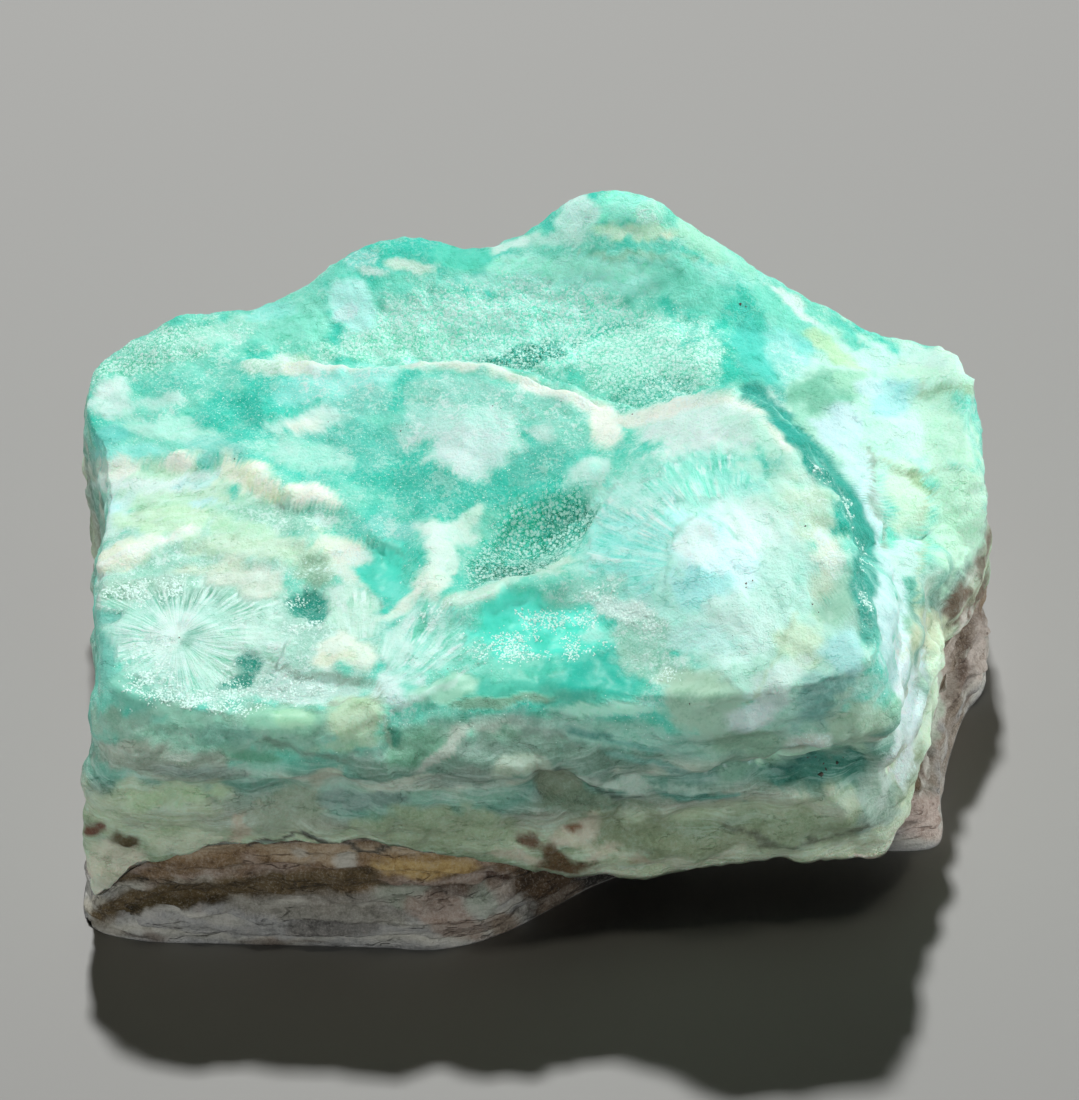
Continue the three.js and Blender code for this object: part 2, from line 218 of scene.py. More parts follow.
def outline_at(points, bearings):
    """Where the rays from the axis at these bearings cross a closed outline."""
    line = smooth_line(points, OUTLINE_STEPS, closed=True)
    angle = np.arctan2(line[:, 1] - AXIS[1], line[:, 0] - AXIS[0])
    return np.stack([np.interp(bearings, angle, column, period=2 * np.pi) for column in line.T], axis=-1)


for name, outline in {"rim": RIM, "lip": LIP, "seat": SEAT, "foot": BASE}.items():
    print("the", name, "is", np.ptp([point[0] for point in outline]), "mm wide")

# %% Ridges
PLATEAU = 34.5  # height of the broad top, before anything rises from it
CONTACT = 14.0  # height at which the two pieces meet, deep inside
GAP = 0.3  # clearance between them
BLEND = 4  # how crisp the valley is where two rises merge
BACK_RIM = {
    "crest": [
        (-52, 20, 1.8), (-43, 24.5, 2.8), (-36, 27, 2.5), (-30, 28.5, 3), (-24, 32, 6.6), (-15.5, 34, 8),
        (-7, 33.5, 6.5), (-1, 34.5, 8.6), (4, 36, 12.3), (9, 36.3, 13.4), (14, 35.5, 12.8),
        (21, 32, 8.9), (27, 29, 5.6), (33, 27.5, 3.6), (42, 27, 2.2),
    ],
    "left": 14, "right": 9,
}
MIDDLE_RIDGE = {
    "crest": [
        (-36, 17.5, 1.5), (-28, 14.8, 3.3), (-19, 12.8, 4.3), (-11.8, 13.2, 5.3), (-4.6, 10.9, 6.3),
        (2.4, 7.7, 6.4), (7, 4.9, 6.3), (11.6, 3.2, 6), (15.1, 3.1, 6.8), (18.5, 3.3, 7.6),
        (23.1, 2.5, 8.4), (26.4, -0.3, 8.5), (29.4, -6.5, 8.5), (32.2, -15.6, 7.5), (34, -23, 6.4),
        (35.7, -31, 4.4),
    ],
    "left": 3.2, "right": 15,
}
LEFT_LEDGE = {
    "crest": [
        (-54, 3.2, 1), (-43, 1.2, 1.1), (-35.4, 0.9, 1.2), (-31.9, -3.5, 1.2), (-27.4, -6.5, 1.1),
        (-22.2, -7.9, 1), (-18.6, -12.7, 0.6),
    ],
    "left": 7, "right": 1,
}
PIT_EDGE = {
    "crest": [
        (-9, -5, 1), (-11, -12, 1.5), (-12.5, -20, 1.4), (-8, -24.2, 1.9), (-4.4, -23, 2.1),
        (2.3, -21.3, 1.6), (6, -20, 0.6),
    ],
    "left": 2.5, "right": 3,
}
print("the back rim rises", max(point[2] for point in BACK_RIM["crest"]), "mm over the top")

# %% Lumps and hollows
# each lump: centre x and y, reach along and across, turn in degrees, rise, flatness of the crown
RISES = {
    "right dome": (20, -14, 13.5, 23.5, 0, 8.3, 2),
    "basin mound": (20, 19, 11, 8, 0, 3.9, 1),
    "left plateau": (-42, 13, 16, 8, 10, 1.2, 1),
    "basin floor": (-2, 22, 22, 8, 0, 1.3, 1),
}
FALLS = {
    "pit": (0, -11, 6.5, 4.8, 20, -3, 1),
    "right flank": (48, -11, 8, 12, -35, -15, 1),
    "right shoulder": (47, 3, 8, 14, 0, -5, 1),
    "right back corner": (47, 22, 9, 12, 0, -2.6, 1),
    "left edge": (-53, 4, 6, 24, 0, -1.6, 1),
    "fan hollow": (-25.4, -22.4, 2.6, 2.2, 0, -1.4, 1),
    "front hollow": (-32.5, -33.3, 2.8, 2.4, 0, -1.2, 1),
    "front left fall": (-25, -38, 16, 5, 0, -3, 1),
    "dome notch": (12, -33, 6, 5, 30, -1.6, 1),
}
# each side lump: centre x, y and z, reach around and in height, how far it stands out
SIDE_LUMPS = {
    "front left bulge": (-32, -40, 29, 12, 2.2, 1.4),
    "front left recess": (-32, -40, 24, 16, 1.8, -1),
    "corner bulge": (-50, -38, 12, 7, 6, 0.8),
    "dome brow": (22, -39, 31.5, 14, 3, 1.6),
    "window": (29, -38, 24, 7, 2.4, -3.6),
    "front right lip": (22, -38, 10, 18, 3, 1),
    "front band": (-1, -40, 27, 9, 3, 1.2),
    "left hollow": (-50, -6, 24, 9, 6, -1.2),
    "back left bulge": (-22, 36, 26, 14, 6, 2.2),
    "back hollow": (6, 39, 28, 10, 7, -2.4),
    "back right bulge": (30, 33, 22, 11, 5, 1.8),
}

print(len(RISES), "lumps and", len(FALLS), "hollows on the top")


# %% The height of the top
def nearest_on(line, x, y):
    """For each place on the plan, the nearest point of a line of straight stretches: its distance, the
    line's third column there, and which side of the line the place is on, above 0 for the left."""
    distance = np.full(x.shape, 1e9)
    value = np.zeros(x.shape)
    side = np.zeros(x.shape)
    for start, end in zip(line, line[1:]):
        dx, dy = (end - start)[:2]
        along = np.clip(((x - start[0]) * dx + (y - start[1]) * dy) / (dx * dx + dy * dy), 0, 1)
        px = x - start[0] - along * dx
        py = y - start[1] - along * dy
        apart = np.hypot(px, py)
        near = apart < distance
        distance = np.where(near, apart, distance)
        value = np.where(near, start[2] + along * (end[2] - start[2]), value)
        side = np.where(near, dx * py - dy * px, side)
    return distance, value, side


def ridge_rise(ridge, x, y):
    """The crest's height, faded by a bell curve with a reach of its own on either side."""
    distance, rise, side = nearest_on(smooth_line(ridge["crest"], CREST_STEPS, closed=False), x, y)
    reach = np.where(side > 0, ridge["left"], ridge["right"])
    return rise * np.exp(-((distance / reach) ** 2))


def turned(x, y, at, reach, turn):
    """Squared distance from a centre, counted in reaches along and across a turned ellipse."""
    angle = np.radians(turn)
    along = ((x - at[0]) * np.cos(angle) + (y - at[1]) * np.sin(angle)) / reach[0]
    across = ((y - at[1]) * np.cos(angle) - (x - at[0]) * np.sin(angle)) / reach[1]
    return along**2 + across**2


def lump_rise(lump, x, y):
    """A bell curve on a turned ellipse, flatter at the crown for a higher flatness."""
    return lump[5] * np.exp(-(turned(x, y, lump[:2], lump[2:4], lump[4]) ** lump[6]))


def top_height(x, y):
    """The large rises merge by a power mean, so that the higher one wins with a soft valley, and the
    small ridges and the hollows are added."""
    large = [ridge_rise(ridge, x, y) for ridge in (BACK_RIM, MIDDLE_RIDGE)]
    large += [lump_rise(lump, x, y) for lump in RISES.values()]
    merged = sum(rise**BLEND for rise in large) ** (1 / BLEND)
    small = ridge_rise(LEFT_LEDGE, x, y) + ridge_rise(PIT_EDGE, x, y)
    return PLATEAU + merged + small + sum(lump_rise(lump, x, y) for lump in FALLS.values())


print("the top at the axis is", top_height(np.zeros(1), np.zeros(1) - 2).round(2), "mm high")

# %% Forms of the side
TOP_UNEVEN = 0.5  # how strong the crossing waves are on the top, the side and the rock
SIDE_UNEVEN = 0.6
ROCK_UNEVEN = 0.8
BANDS = {"pitch": 6.5, "wander": 1.6, "length": 42, "out": 0.45}
ROCK_LAYERS = {"brown": (12, 1.8, 0.8), "washed out": (8, 1.6, -0.9), "grey": (4, 2.2, 0.6)}


def unevenness(x, y, z):
    """Broken-stone unevenness: three crossing waves, from -1 to 1."""
    long = np.sin(0.61 * x + 0.37 * y + 0.3 * z)
    cross = np.sin(0.43 * x - 0.71 * y + 1.3)
    steep = np.sin(0.29 * x + 0.23 * y - 0.93 * z + 2.1)
    return (long * cross + steep * long + cross * steep) / 3


def side_out(x, y, z):
    """How far the smithsonite's side stands out: lumps, wavy growth layers and unevenness."""
    out = SIDE_UNEVEN * unevenness(x, y, z)
    wander = BANDS["wander"] * np.sin(2 * np.pi * (x - y) / BANDS["length"])
    out = out + BANDS["out"] * np.sin(2 * np.pi * (z + wander) / BANDS["pitch"])
    for cx, cy, cz, around, height, amount in SIDE_LUMPS.values():
        away = ((x - cx) ** 2 + (y - cy) ** 2) / around**2
        out = out + amount * np.exp(-away - ((z - cz) / height) ** 2)
    return out


def rock_out(x, y, z):
    """How far the host rock's side stands out: its layers and unevenness."""
    layers = [out * np.exp(-(((z - at) / half) ** 2)) for at, half, out in ROCK_LAYERS.values()]
    return sum(layers) + ROCK_UNEVEN * unevenness(x, y, z)


print(len(SIDE_LUMPS), "lumps and hollows on the side,", len(ROCK_LAYERS), "layers in the rock")

# %% [markdown]
# ## Grids
# A stone could be a ball whose points are pushed about, but a ball crowds its points at the poles. Here
# the top is a square grid laid on a disc: the square's inner squares become circles, so the cells stay
# even out to the rim. From the rim the grid goes on as rings, down the side and in under the lip.


# %% A square grid laid on a disc
def disc_grid(count):
    """Share of the radius and turn, both from 0 to 1, for each point of a square grid on a disc. On
    each inner square the radius is the square's half side, and the turn runs evenly along its sides."""
    line = np.linspace(-1, 1, count + 1)
    a, b = np.meshgrid(line, line, indexing="xy")
    radius = np.maximum(abs(a), abs(b))
    safe = np.where(radius == 0, 1, radius)
    sideways = np.where(a >= 0, b / safe, 4 - b / safe)
    endways = np.where(b >= 0, 2 - a / safe, 6 + a / safe)
    eighths = np.where(abs(a) >= abs(b), sideways, endways)
    return radius, (eighths / 8) % 1


def border_of(count):
    """Indices of the square grid's border, anticlockwise from the middle of its right side."""
    index = np.arange((count + 1) ** 2).reshape(count + 1, count + 1)
    loop = np.concatenate([index[:-1, -1], index[-1, :0:-1], index[:0:-1, 0], index[0, :-1]])
    return np.roll(loop, -(count // 2))


def ring_faces(inner, outer):
    """Four-sided faces between two rings of the same length, facing away from the stone where the first
    is further in or higher up."""
    return np.stack([inner, outer, np.roll(outer, -1), np.roll(inner, -1)], axis=1)


def closed_faces(count, rings):
    """Faces of a closed surface: a square grid, then rings below its border, then one last point. The
    points come in that order."""
    index = np.arange((count + 1) ** 2).reshape(count + 1, count + 1)
    corners = (index[:-1, :-1], index[:-1, 1:], index[1:, 1:], index[1:, :-1])
    quads = [np.stack([corner.ravel() for corner in corners], axis=1)]
    columns = 4 * count
    loops = [border_of(count)]
    loops += [(count + 1) ** 2 + k * columns + np.arange(columns) for k in range(rings)]
    quads += [ring_faces(inner, outer) for inner, outer in zip(loops, loops[1:])]
    last = np.full(columns, loops[-1][-1] + 1)
    fan = np.stack([loops[-1], last, np.roll(loops[-1], -1)], axis=1)
    return np.vstack(quads), fan

print("a grid of 2 by 2 has its border at", border_of(2))

# %% Equal steps round the stone, and the way each point faces
lip_line = smooth_line([point[:2] for point in LIP], OUTLINE_STEPS, closed=True)
lip_line = np.vstack([lip_line, lip_line[:1]])
lip_run = np.concatenate([[0], np.cumsum(np.linalg.norm(np.diff(lip_line, axis=0), axis=1))])
lip_bearing = np.unwrap(np.arctan2(lip_line[:, 1] - AXIS[1], lip_line[:, 0] - AXIS[0]))


def unit(vectors):
    """Vectors in rows, each made one long."""
    return vectors / np.linalg.norm(vectors, axis=1, keepdims=True)


def bearing_at(turn):
    """The bearing from the axis for a turn from 0 to 1: equal turns are equal steps along the lip."""
    return np.interp(turn * lip_run[-1], lip_run, lip_bearing)


def vertex_normals(points, quads):
    """The direction each point faces: the sum of what the faces around it say, made one long."""
    a, b, c, d = (points[quads[:, k]] for k in range(4))
    across = np.cross(c - a, d - b)
    total = np.zeros(points.shape)
    for k in range(4):
        for axis in range(3):
            total[:, axis] += np.bincount(quads[:, k], across[:, axis], len(points))
    return total / np.maximum(np.linalg.norm(total, axis=1, keepdims=True), 1e-12)


print("the lip is", lip_run[-1].round(), "mm all the way round")

# %% The smithsonite's plain form
TOP_GRID = 200  # cells along each side of the top's grid
SIDE_ROWS = 56  # rings from rim to lip, then in under the lip, then on the hidden face
LIP_ROWS = 5
CORE_ROWS = 3
ROLL_OUT = 2.2  # powers that make the rim roll over: it goes out fast
ROLL_DOWN = 1.35  # and down slowly
LEFT_SIDE = (38, 48)  # how far left the side becomes a flatter break
LEFT_CALM = 0.7  # and the share of its forms that is lost there


def joined(rings):
    """One array of points from all the rings, and one of how far down each point is."""
    points = np.vstack([ring for ring, _ in rings])
    return points, np.concatenate([np.full(len(ring), float(down)) for ring, down in rings])


def core_height(edge_height, share):
    """Height of the face where the two pieces meet, from the axis out to the seat."""
    return CONTACT + (edge_height - CONTACT) * share**2


def smithsonite_form():
    """Points of the whole smithsonite, and for each one how far down the side it is: 0 on the top, 0 to
    1 from rim to lip, 1 to 2 in under the lip and 3 on the hidden face below."""
    radius, turn = disc_grid(TOP_GRID)
    rim = outline_at(RIM, bearing_at(turn.ravel()))
    flat = AXIS + radius.reshape(-1, 1) * (rim - AXIS)
    height = top_height(flat[:, 0], flat[:, 1])
    height = height + TOP_UNEVEN * unevenness(flat[:, 0], flat[:, 1], 0)
    rings = [(np.column_stack([flat, height]), 0)]

    edge = rings[0][0][border_of(TOP_GRID)]
    bearings = bearing_at(np.arange(4 * TOP_GRID) / (4 * TOP_GRID))
    lip, seat = outline_at(LIP, bearings), outline_at(SEAT, bearings)
    outward = unit(edge[:, :2] - AXIS)
    for share in np.arange(1, SIDE_ROWS + 1) / SIDE_ROWS:
        flat = edge[:, :2] + (lip[:, :2] - edge[:, :2]) * (1 - (1 - share) ** ROLL_OUT)
        height = edge[:, 2] + (lip[:, 2] - edge[:, 2]) * share**ROLL_DOWN
        out = side_out(flat[:, 0], flat[:, 1], height) * np.sqrt(max(0, np.sin(np.pi * share)))
        out = out * (1 - LEFT_CALM * ramp(-flat[:, 0], *LEFT_SIDE))
        rings.append((np.column_stack([flat + outward * out[:, None], height]), share))
    lifted = seat + (0, 0, GAP)
    for share in np.arange(1, LIP_ROWS + 1) / LIP_ROWS:
        rings.append((lip + (lifted - lip) * share, 1 + share))
    for share in np.arange(CORE_ROWS - 1, 0, -1) / CORE_ROWS:
        flat = AXIS + share * (seat[:, :2] - AXIS)
        rings.append((np.column_stack([flat, core_height(seat[:, 2], share) + GAP]), 3))
    rings.append((np.array([[*AXIS, CONTACT + GAP]]), 3))
    return joined(rings)


form, down = smithsonite_form()
quads, fan = closed_faces(TOP_GRID, SIDE_ROWS + LIP_ROWS + CORE_ROWS - 1)
print("smithsonite:", len(form), "points,", 2 * len(quads) + len(fan), "triangles")

# %% [markdown]
# ## Seen from the camera
# The stone's surface is a map: sugary crusts, fans of fibres, glassy pools, creamy ledges. Each place is
# given by where the camera sees it, in a view 1079 wide and 1100 high, and thrown from there onto the
# surface. A place could also be given on the plan, but a plan squeezes the steep front into a line. What
# faces away from the camera is coloured by its growth layers.
#
# Ground that faces the camera can still be hidden, as it is behind the middle ridge. Its place in the
# view then falls on the ridge's front, and it would take the colours of the front. So it is first moved
# back over the crest's line, by more than its distance from it, and takes the colours seen behind it.


# %% Where the camera sees a point
VIEW_WIDE = 1079
VIEW_HIGH = 1100
SENSOR = 36  # mm, the height of the film behind the lens
EDGE_ON = (-0.05, 0.3)  # how squarely a face has to look at the camera to count as seen


def seen_at(points):
    """Across and up in the view, up being negative below its top edge: a point's distance sideways and
    upwards from the line of sight, divided by its distance ahead and scaled by the lens."""
    ahead = np.array(LOOKED_AT - CAMERA_AT)
    ahead /= np.linalg.norm(ahead)
    right = np.array([1.0, 0, 0])
    up = np.cross(right, ahead)
    apart = points * MM - np.array(CAMERA_AT)
    scale = FOCAL_LENGTH / SENSOR * VIEW_HIGH / (apart @ ahead)
    across = VIEW_WIDE / 2 + scale * (apart @ right)
    return np.column_stack([across, scale * (apart @ up) - VIEW_HIGH / 2])


def facing_camera(points, normals):
    """1 where the surface faces the camera, 0 where it faces away."""
    towards = unit(np.array(CAMERA_AT) / MM - points)
    return ramp((normals * towards).sum(axis=1), *EDGE_ON)


def line_in_view(line, view):
    """Distance from a line drawn in the view, given as across and down, and the side of it: above 0 on
    the left of someone who walks along it."""
    path = np.array([(across, -below, 0) for across, below in line], float)
    smooth = smooth_line(path, DRAWN_STEPS, closed=False)
    distance, _, side = nearest_on(smooth, view[:, 0], view[:, 1])
    return distance, side


def line_in_plan(points, line):
    """Distance on the plan from a line."""
    return nearest_on(smooth_line(line, CREST_STEPS, closed=False), points[:, 0], points[:, 1])[0]


# %% Crooked edges, and ground that is hidden
CREST_IN_VIEW = [
    (200, 372), (290, 366), (414, 361), (500, 367), (607, 412), (668, 411), (725, 397), (790, 452),
    (868, 640),
]
WAVER = 5.5  # how far noise pushes a place in the view
WAVER_LENGTH = 4  # mm from one push to the next
SQUARE = 5  # side of the squares that keep the nearest ground
STANDS_BEFORE = (2.5, 4.5)  # mm by which hidden ground lies behind what is seen
OVER_THE_CREST = (1.2, 1.6)  # across and up, for each unit of distance from the crest's line


def wavered(points, view):
    """The view with each place pushed a few units by noise, so that whatever is drawn in it comes out
    as crooked as stone."""
    push = [WAVER * layered(points / WAVER_LENGTH, 4, seed) for seed in (37, 38)]
    return view + np.column_stack(push)


def hidden_share(points, view):
    """1 where other ground stands more than a few millimetres in front of a point. The view is cut into
    small squares, and each keeps the distance of the nearest point seen in it."""
    away = np.linalg.norm(points - np.array(CAMERA_AT) / MM, axis=1)
    squares = np.round(view / SQUARE).astype(int)
    squares -= squares.min(axis=0)
    nearest = np.full(squares.max(axis=0) + 1, np.inf)
    np.minimum.at(nearest, tuple(squares.T), away)
    return ramp(away - nearest[tuple(squares.T)], *STANDS_BEFORE)


normals = vertex_normals(form, quads)
view = seen_at(form)
crest_distance, crest_side = line_in_view(CREST_IN_VIEW, view)
moved = crest_distance * hidden_share(form, view) * (crest_side < 0)
crooked = wavered(form, view) + moved[:, None] * OVER_THE_CREST
facing = facing_camera(form, normals)
print("the middle of the top is seen at", seen_at(np.array([[0.0, 0.0, 40.0]])).round())
print((moved > 0).mean().round(3), "of the points are hidden and moved over the crest")

# %% [markdown]
# ## Colours
# Smithsonite gets its blue-green from a trace of copper, and it varies from layer to layer: deep teal
# where the crust is clear, mint where it is finely fibrous, white and cream where it is packed with
# tiny bubbles or a little iron. A few named colours are laid over each other, patch by patch, each with
# a ragged edge, as a painter would block them in. The finer grain comes later, in the material.

# %% Named colours, as linear red, green and blue in percent
TEAL = (5, 68, 53)
DEEP_TEAL = (2, 53, 41)
MINT = (22, 78, 62)
BACK_MINT = (42, 92, 80)
CYAN = (30, 84, 75)
PALE_MINT = (50, 91, 78)
MILK = (60, 88, 80)
WHITE = (72, 92, 86)
ICE = (54, 89, 88)
LAVENDER = (56, 80, 82)
CREAM = (84, 97, 79)
IVORY = (84, 96, 84)
YELLOW_GREEN = (58, 86, 63)
SAGE = (36, 62, 44)
SHADE_TEAL = (16, 38, 30)
SHADE_GREEN = (52, 65, 46)
SHADE_PALE = (54, 64, 53)
# the next colour is painted shade, laid on the underside of the lip
UNDER_LIP_PAINTED_SHADE = (13, 10, 6.5)
SHADE_GREY = (36, 42, 34)
SHADE_MINT = (30, 54, 43)
OLIVE = (28, 38, 25)
PINKISH = (52, 58, 46)
STONE_PALE = (64, 67, 53)
BROWN = (20, 13.5, 7)
print("teal is", TEAL, "and cream", CREAM)

# %% Patches of the back: across, down, reach along, reach across, turn, colour, share, and a finish
BACK_PATCHES = [
    # behind the middle ridge
    (600, 275, 170, 24, 0, BACK_MINT, 1), (520, 330, 215, 46, -2, BACK_MINT, 1, "druse"),
    (420, 318, 90, 20, 4, (56, 98, 86), 0.6, "druse"),
    (380, 345, 90, 16, 4, (42, 88, 74), 0.8, "druse"),
    (654, 362, 80, 42, -4, (40, 86, 73), 0.95, "druse"),
    (650, 395, 60, 20, 0, (15, 66, 54), 0.8, "druse"), (527, 352, 58, 11, 9, (2, 50, 39), 1, "druse"),
    (608, 328, 30, 6, 6, (10, 70, 56), 0.8, "druse"), (560, 303, 60, 6, 0, (50, 98, 86), 0.5, "druse"),
    (560, 268, 130, 9, -2, (42, 99, 78), 0.7), (640, 256, 75, 4, -3, SAGE, 0.6),
    (690, 285, 50, 22, -30, MINT, 0.9),
    # peak and back crest
    (628, 208, 42, 19, -5, (34, 97, 76), 1), (650, 215, 18, 16, 0, (40, 86, 68), 0.7, "sugar"),
    (578, 216, 26, 20, 30, (64, 100, 88), 0.95), (541, 238, 12, 14, 40, (20, 76, 58), 0.8),
    (510, 245, 30, 8, 20, (74, 98, 90), 0.8), (560, 240, 35, 9, 10, MILK, 0.6),
    (640, 233, 55, 8, -4, (64, 92, 70), 0.9), (666, 238, 12, 4, 0, (80, 92, 70), 0.7),
    (700, 236, 36, 18, -35, (42, 86, 66), 0.9), (740, 262, 24, 10, -45, (34, 82, 64), 0.8),
    (400, 244, 48, 13, 2, TEAL, 0.95, "sugar"), (463, 256, 36, 15, -8, (12, 74, 57), 1),
    (360, 260, 22, 9, 25, CYAN, 0.8, "sugar"), (412, 266, 38, 8, -6, (70, 94, 80), 0.9, "sugar"),
    (372, 273, 18, 6, -5, MILK, 0.9, "sugar"),
]
print(len(BACK_PATCHES), "patches at the back")

# %% Patches of the left plateau and of the slope before the ridge, in the same words
LEFT_PATCHES = [
    # left plateau
    (190, 365, 140, 56, 18, MINT, 1, "sugar"), (160, 352, 80, 20, 22, (28, 78, 62), 0.9, "druse"),
    (230, 330, 60, 14, 15, PALE_MINT, 0.6, "sugar"), (215, 375, 60, 18, 15, (18, 72, 58), 0.8, "sugar"),
    (160, 385, 40, 14, 0, TEAL, 0.5, "sugar"), (258, 376, 22, 34, 15, TEAL, 1, "sugar"),
    (222, 412, 38, 22, 35, TEAL, 1, "sugar"), (262, 438, 30, 16, -20, TEAL, 0.95, "sugar"),
    (250, 410, 18, 26, 30, (1.5, 56, 43), 0.85, "sugar"),
    (302, 386, 36, 18, 15, (26, 86, 76), 0.8, "sugar"),
    (345, 382, 60, 17, 6, (38, 92, 82), 0.9, "sugar"), (300, 322, 46, 24, 8, (26, 80, 64), 1),
    # the pale cyan patch at 352, 305 and the near-white one at 346, 318 are a painted highlight on the
    # saddle's lobe
    (270, 312, 26, 12, 20, CYAN, 0.7), (352, 305, 32, 30, 40, (50, 98, 88), 1),
    (346, 318, 9, 16, -50, (74, 100, 97), 0.7, "sugar"), (282, 366, 40, 8, 6, IVORY, 0.7, "druse"),
    (113, 402, 26, 20, 35, MILK, 0.95, "layers"), (108, 392, 16, 12, 35, WHITE, 0.7, "layers"),
    (165, 400, 26, 8, 5, MILK, 0.6, "layers"), (165, 430, 60, 13, -8, PALE_MINT, 0.85, "layers"),
    (113, 437, 26, 11, 5, (16, 68, 60), 0.9), (120, 453, 50, 8, 3, CYAN, 0.8),
    (215, 447, 50, 9, -12, (30, 78, 68), 0.7, "layers"),
    # slope before the ridge
    (405, 470, 110, 34, -18, TEAL, 1, "sugar"), (440, 495, 60, 24, -12, (7, 62, 49), 0.9, "sugar"),
    (355, 440, 60, 26, -12, (14, 70, 57), 0.9, "sugar"),
    (300, 455, 55, 17, -12, PALE_MINT, 0.7, "layers"), (315, 418, 52, 13, 15, MILK, 0.95, "layers"),
    (300, 424, 26, 8, 15, IVORY, 0.8, "layers"), (370, 400, 40, 16, 10, (22, 76, 64), 0.9, "sugar"),
    (405, 392, 12, 26, -35, TEAL, 0.9, "sugar"), (465, 395, 60, 20, -4, (34, 80, 68), 0.9, "sugar"),
    (545, 408, 50, 18, -22, (30, 78, 65), 0.9, "sugar"),
    (430, 425, 40, 20, 0, (42, 84, 74), 0.9, "sugar"),
    (480, 442, 64, 35, -8, (56, 95, 84), 0.95, "sugar"),
    (470, 452, 40, 22, 0, (70, 97, 90), 0.85, "sugar"), (540, 432, 22, 12, -20, MILK, 0.7, "sugar"),
    (568, 432, 16, 24, 10, (26, 76, 62), 0.8, "sugar"),
    (535, 468, 42, 18, 15, (12, 66, 53), 0.95, "sugar"), (605, 428, 18, 26, 8, IVORY, 1),
    (590, 478, 30, 18, 20, MILK, 0.95), (604, 505, 12, 22, 0, (50, 84, 70), 0.9),
]
print(len(LEFT_PATCHES), "patches at the left")

# %% Patches of the cream ledge, the left fan and what lies between
LEDGE_PATCHES = [
    # muted ground of the left half, then the cream ledge
    (195, 560, 130, 100, 0, (42, 78, 65), 1, "sugar"), (240, 650, 170, 66, 0, (42, 74, 63), 1, "sugar"),
    (230, 728, 160, 26, -2, (30, 58, 45), 1), (175, 500, 90, 46, 2, (54, 84, 64), 1, "layers"),
    (115, 470, 28, 14, -3, IVORY, 0.9, "layers"), (140, 486, 60, 8, -4, WHITE, 0.8, "layers"),
    (205, 480, 40, 7, 12, ICE, 0.7, "layers"), (182, 463, 22, 12, 2, (86, 98, 84), 1),
    (206, 462, 10, 9, 0, CYAN, 0.7, "layers"), (246, 478, 38, 22, -25, CREAM, 1, "layers"),
    (262, 488, 26, 8, -28, (84, 92, 70), 0.7, "layers"),
    (312, 497, 32, 13, -12, (88, 99, 84), 1, "layers"), (330, 500, 20, 7, -10, IVORY, 0.7, "layers"),
    (113, 515, 26, 28, 20, MILK, 1, "layers"), (108, 508, 16, 12, 10, ICE, 0.8, "layers"),
    (172, 522, 56, 18, 8, YELLOW_GREEN, 0.9, "layers"), (208, 505, 26, 8, -8, ICE, 0.8),
    (240, 512, 36, 18, 0, (46, 82, 62), 0.8, "layers"),
    (285, 522, 60, 18, -8, (34, 72, 57), 0.85, "sugar"),
    (240, 535, 50, 14, -5, (54, 84, 62), 0.85, "layers"), (120, 560, 34, 12, 18, CREAM, 1, "layers"),
    (170, 542, 34, 8, 12, IVORY, 0.8, "layers"), (270, 552, 80, 14, -3, (60, 82, 64), 0.9, "layers"),
    (335, 545, 34, 12, -8, CREAM, 0.9, "layers"),
    # under the ledge
    (185, 600, 110, 32, 5, (42, 74, 62), 1, "fibres"),
    (140, 588, 56, 13, 10, (40, 66, 54), 0.9, "fibres"),
    (190, 598, 34, 10, -4, (26, 50, 40), 0.7, "fibres"),
    (248, 580, 54, 16, -4, (66, 80, 69), 0.95, "layers"),
    (215, 568, 40, 8, 4, (68, 84, 68), 0.8, "layers"),
    (315, 572, 26, 20, -20, (36, 60, 44), 0.9, "sugar"), (356, 566, 22, 24, 10, IVORY, 0.85, "sugar"),
    (350, 610, 36, 32, 0, (58, 86, 74), 0.95, "fibres"),
    # left fan
    (180, 648, 84, 58, -14, (46, 82, 71), 1, "fibres"), (176, 640, 46, 42, 0, MILK, 0.85, "fibres"),
    (170, 628, 28, 22, 20, WHITE, 0.7, "fibres"), (192, 638, 16, 6, 35, (30, 66, 54), 0.7, "fibres"),
    (225, 660, 40, 34, 0, (55, 86, 74), 0.7, "fibres"),
    (262, 650, 36, 34, 0, (60, 88, 78), 0.85, "fibres"), (290, 690, 44, 20, -10, MILK, 0.85, "sugar"),
    (110, 617, 14, 9, 5, (10, 46, 38), 0.85), (108, 660, 13, 40, 10, (14, 48, 40), 0.95),
    (140, 702, 44, 16, -38, (20, 56, 44), 0.95, "glass"),
    (190, 715, 46, 13, -12, (30, 62, 48), 0.85, "glass"), (120, 722, 30, 20, 0, (34, 58, 46), 0.8),
    (303, 604, 20, 12, 4, (2, 36, 27), 1, "sugar"), (317, 613, 14, 15, -30, (2, 38, 29), 1, "sugar"),
    (248, 664, 12, 11, 0, (4, 42, 32), 1, "sugar"), (236, 683, 17, 9, 20, (4, 40, 30), 1, "sugar"),
    (268, 676, 8, 5, 0, (12, 54, 42), 0.6, "sugar"),
    # creamy stone between the fans
    (348, 655, 36, 20, 0, (76, 92, 79), 1), (335, 660, 20, 7, 5, (76, 86, 68), 0.7),
    (330, 690, 46, 14, -10, MILK, 0.8), (360, 722, 32, 26, 8, (54, 76, 54), 1),
    (350, 742, 34, 10, 5, (46, 70, 50), 0.8), (280, 722, 46, 17, 0, (28, 60, 44), 0.95, "glass"),
    (292, 722, 24, 9, 0, (38, 70, 48), 0.8, "glass"), (225, 735, 34, 14, -6, (22, 50, 40), 0.85),
    (398, 690, 32, 20, 15, (66, 90, 85), 1), (392, 738, 10, 10, 0, (7, 34, 24), 0.9),
]
print(len(LEDGE_PATCHES), "patches at the ledge and the fan")

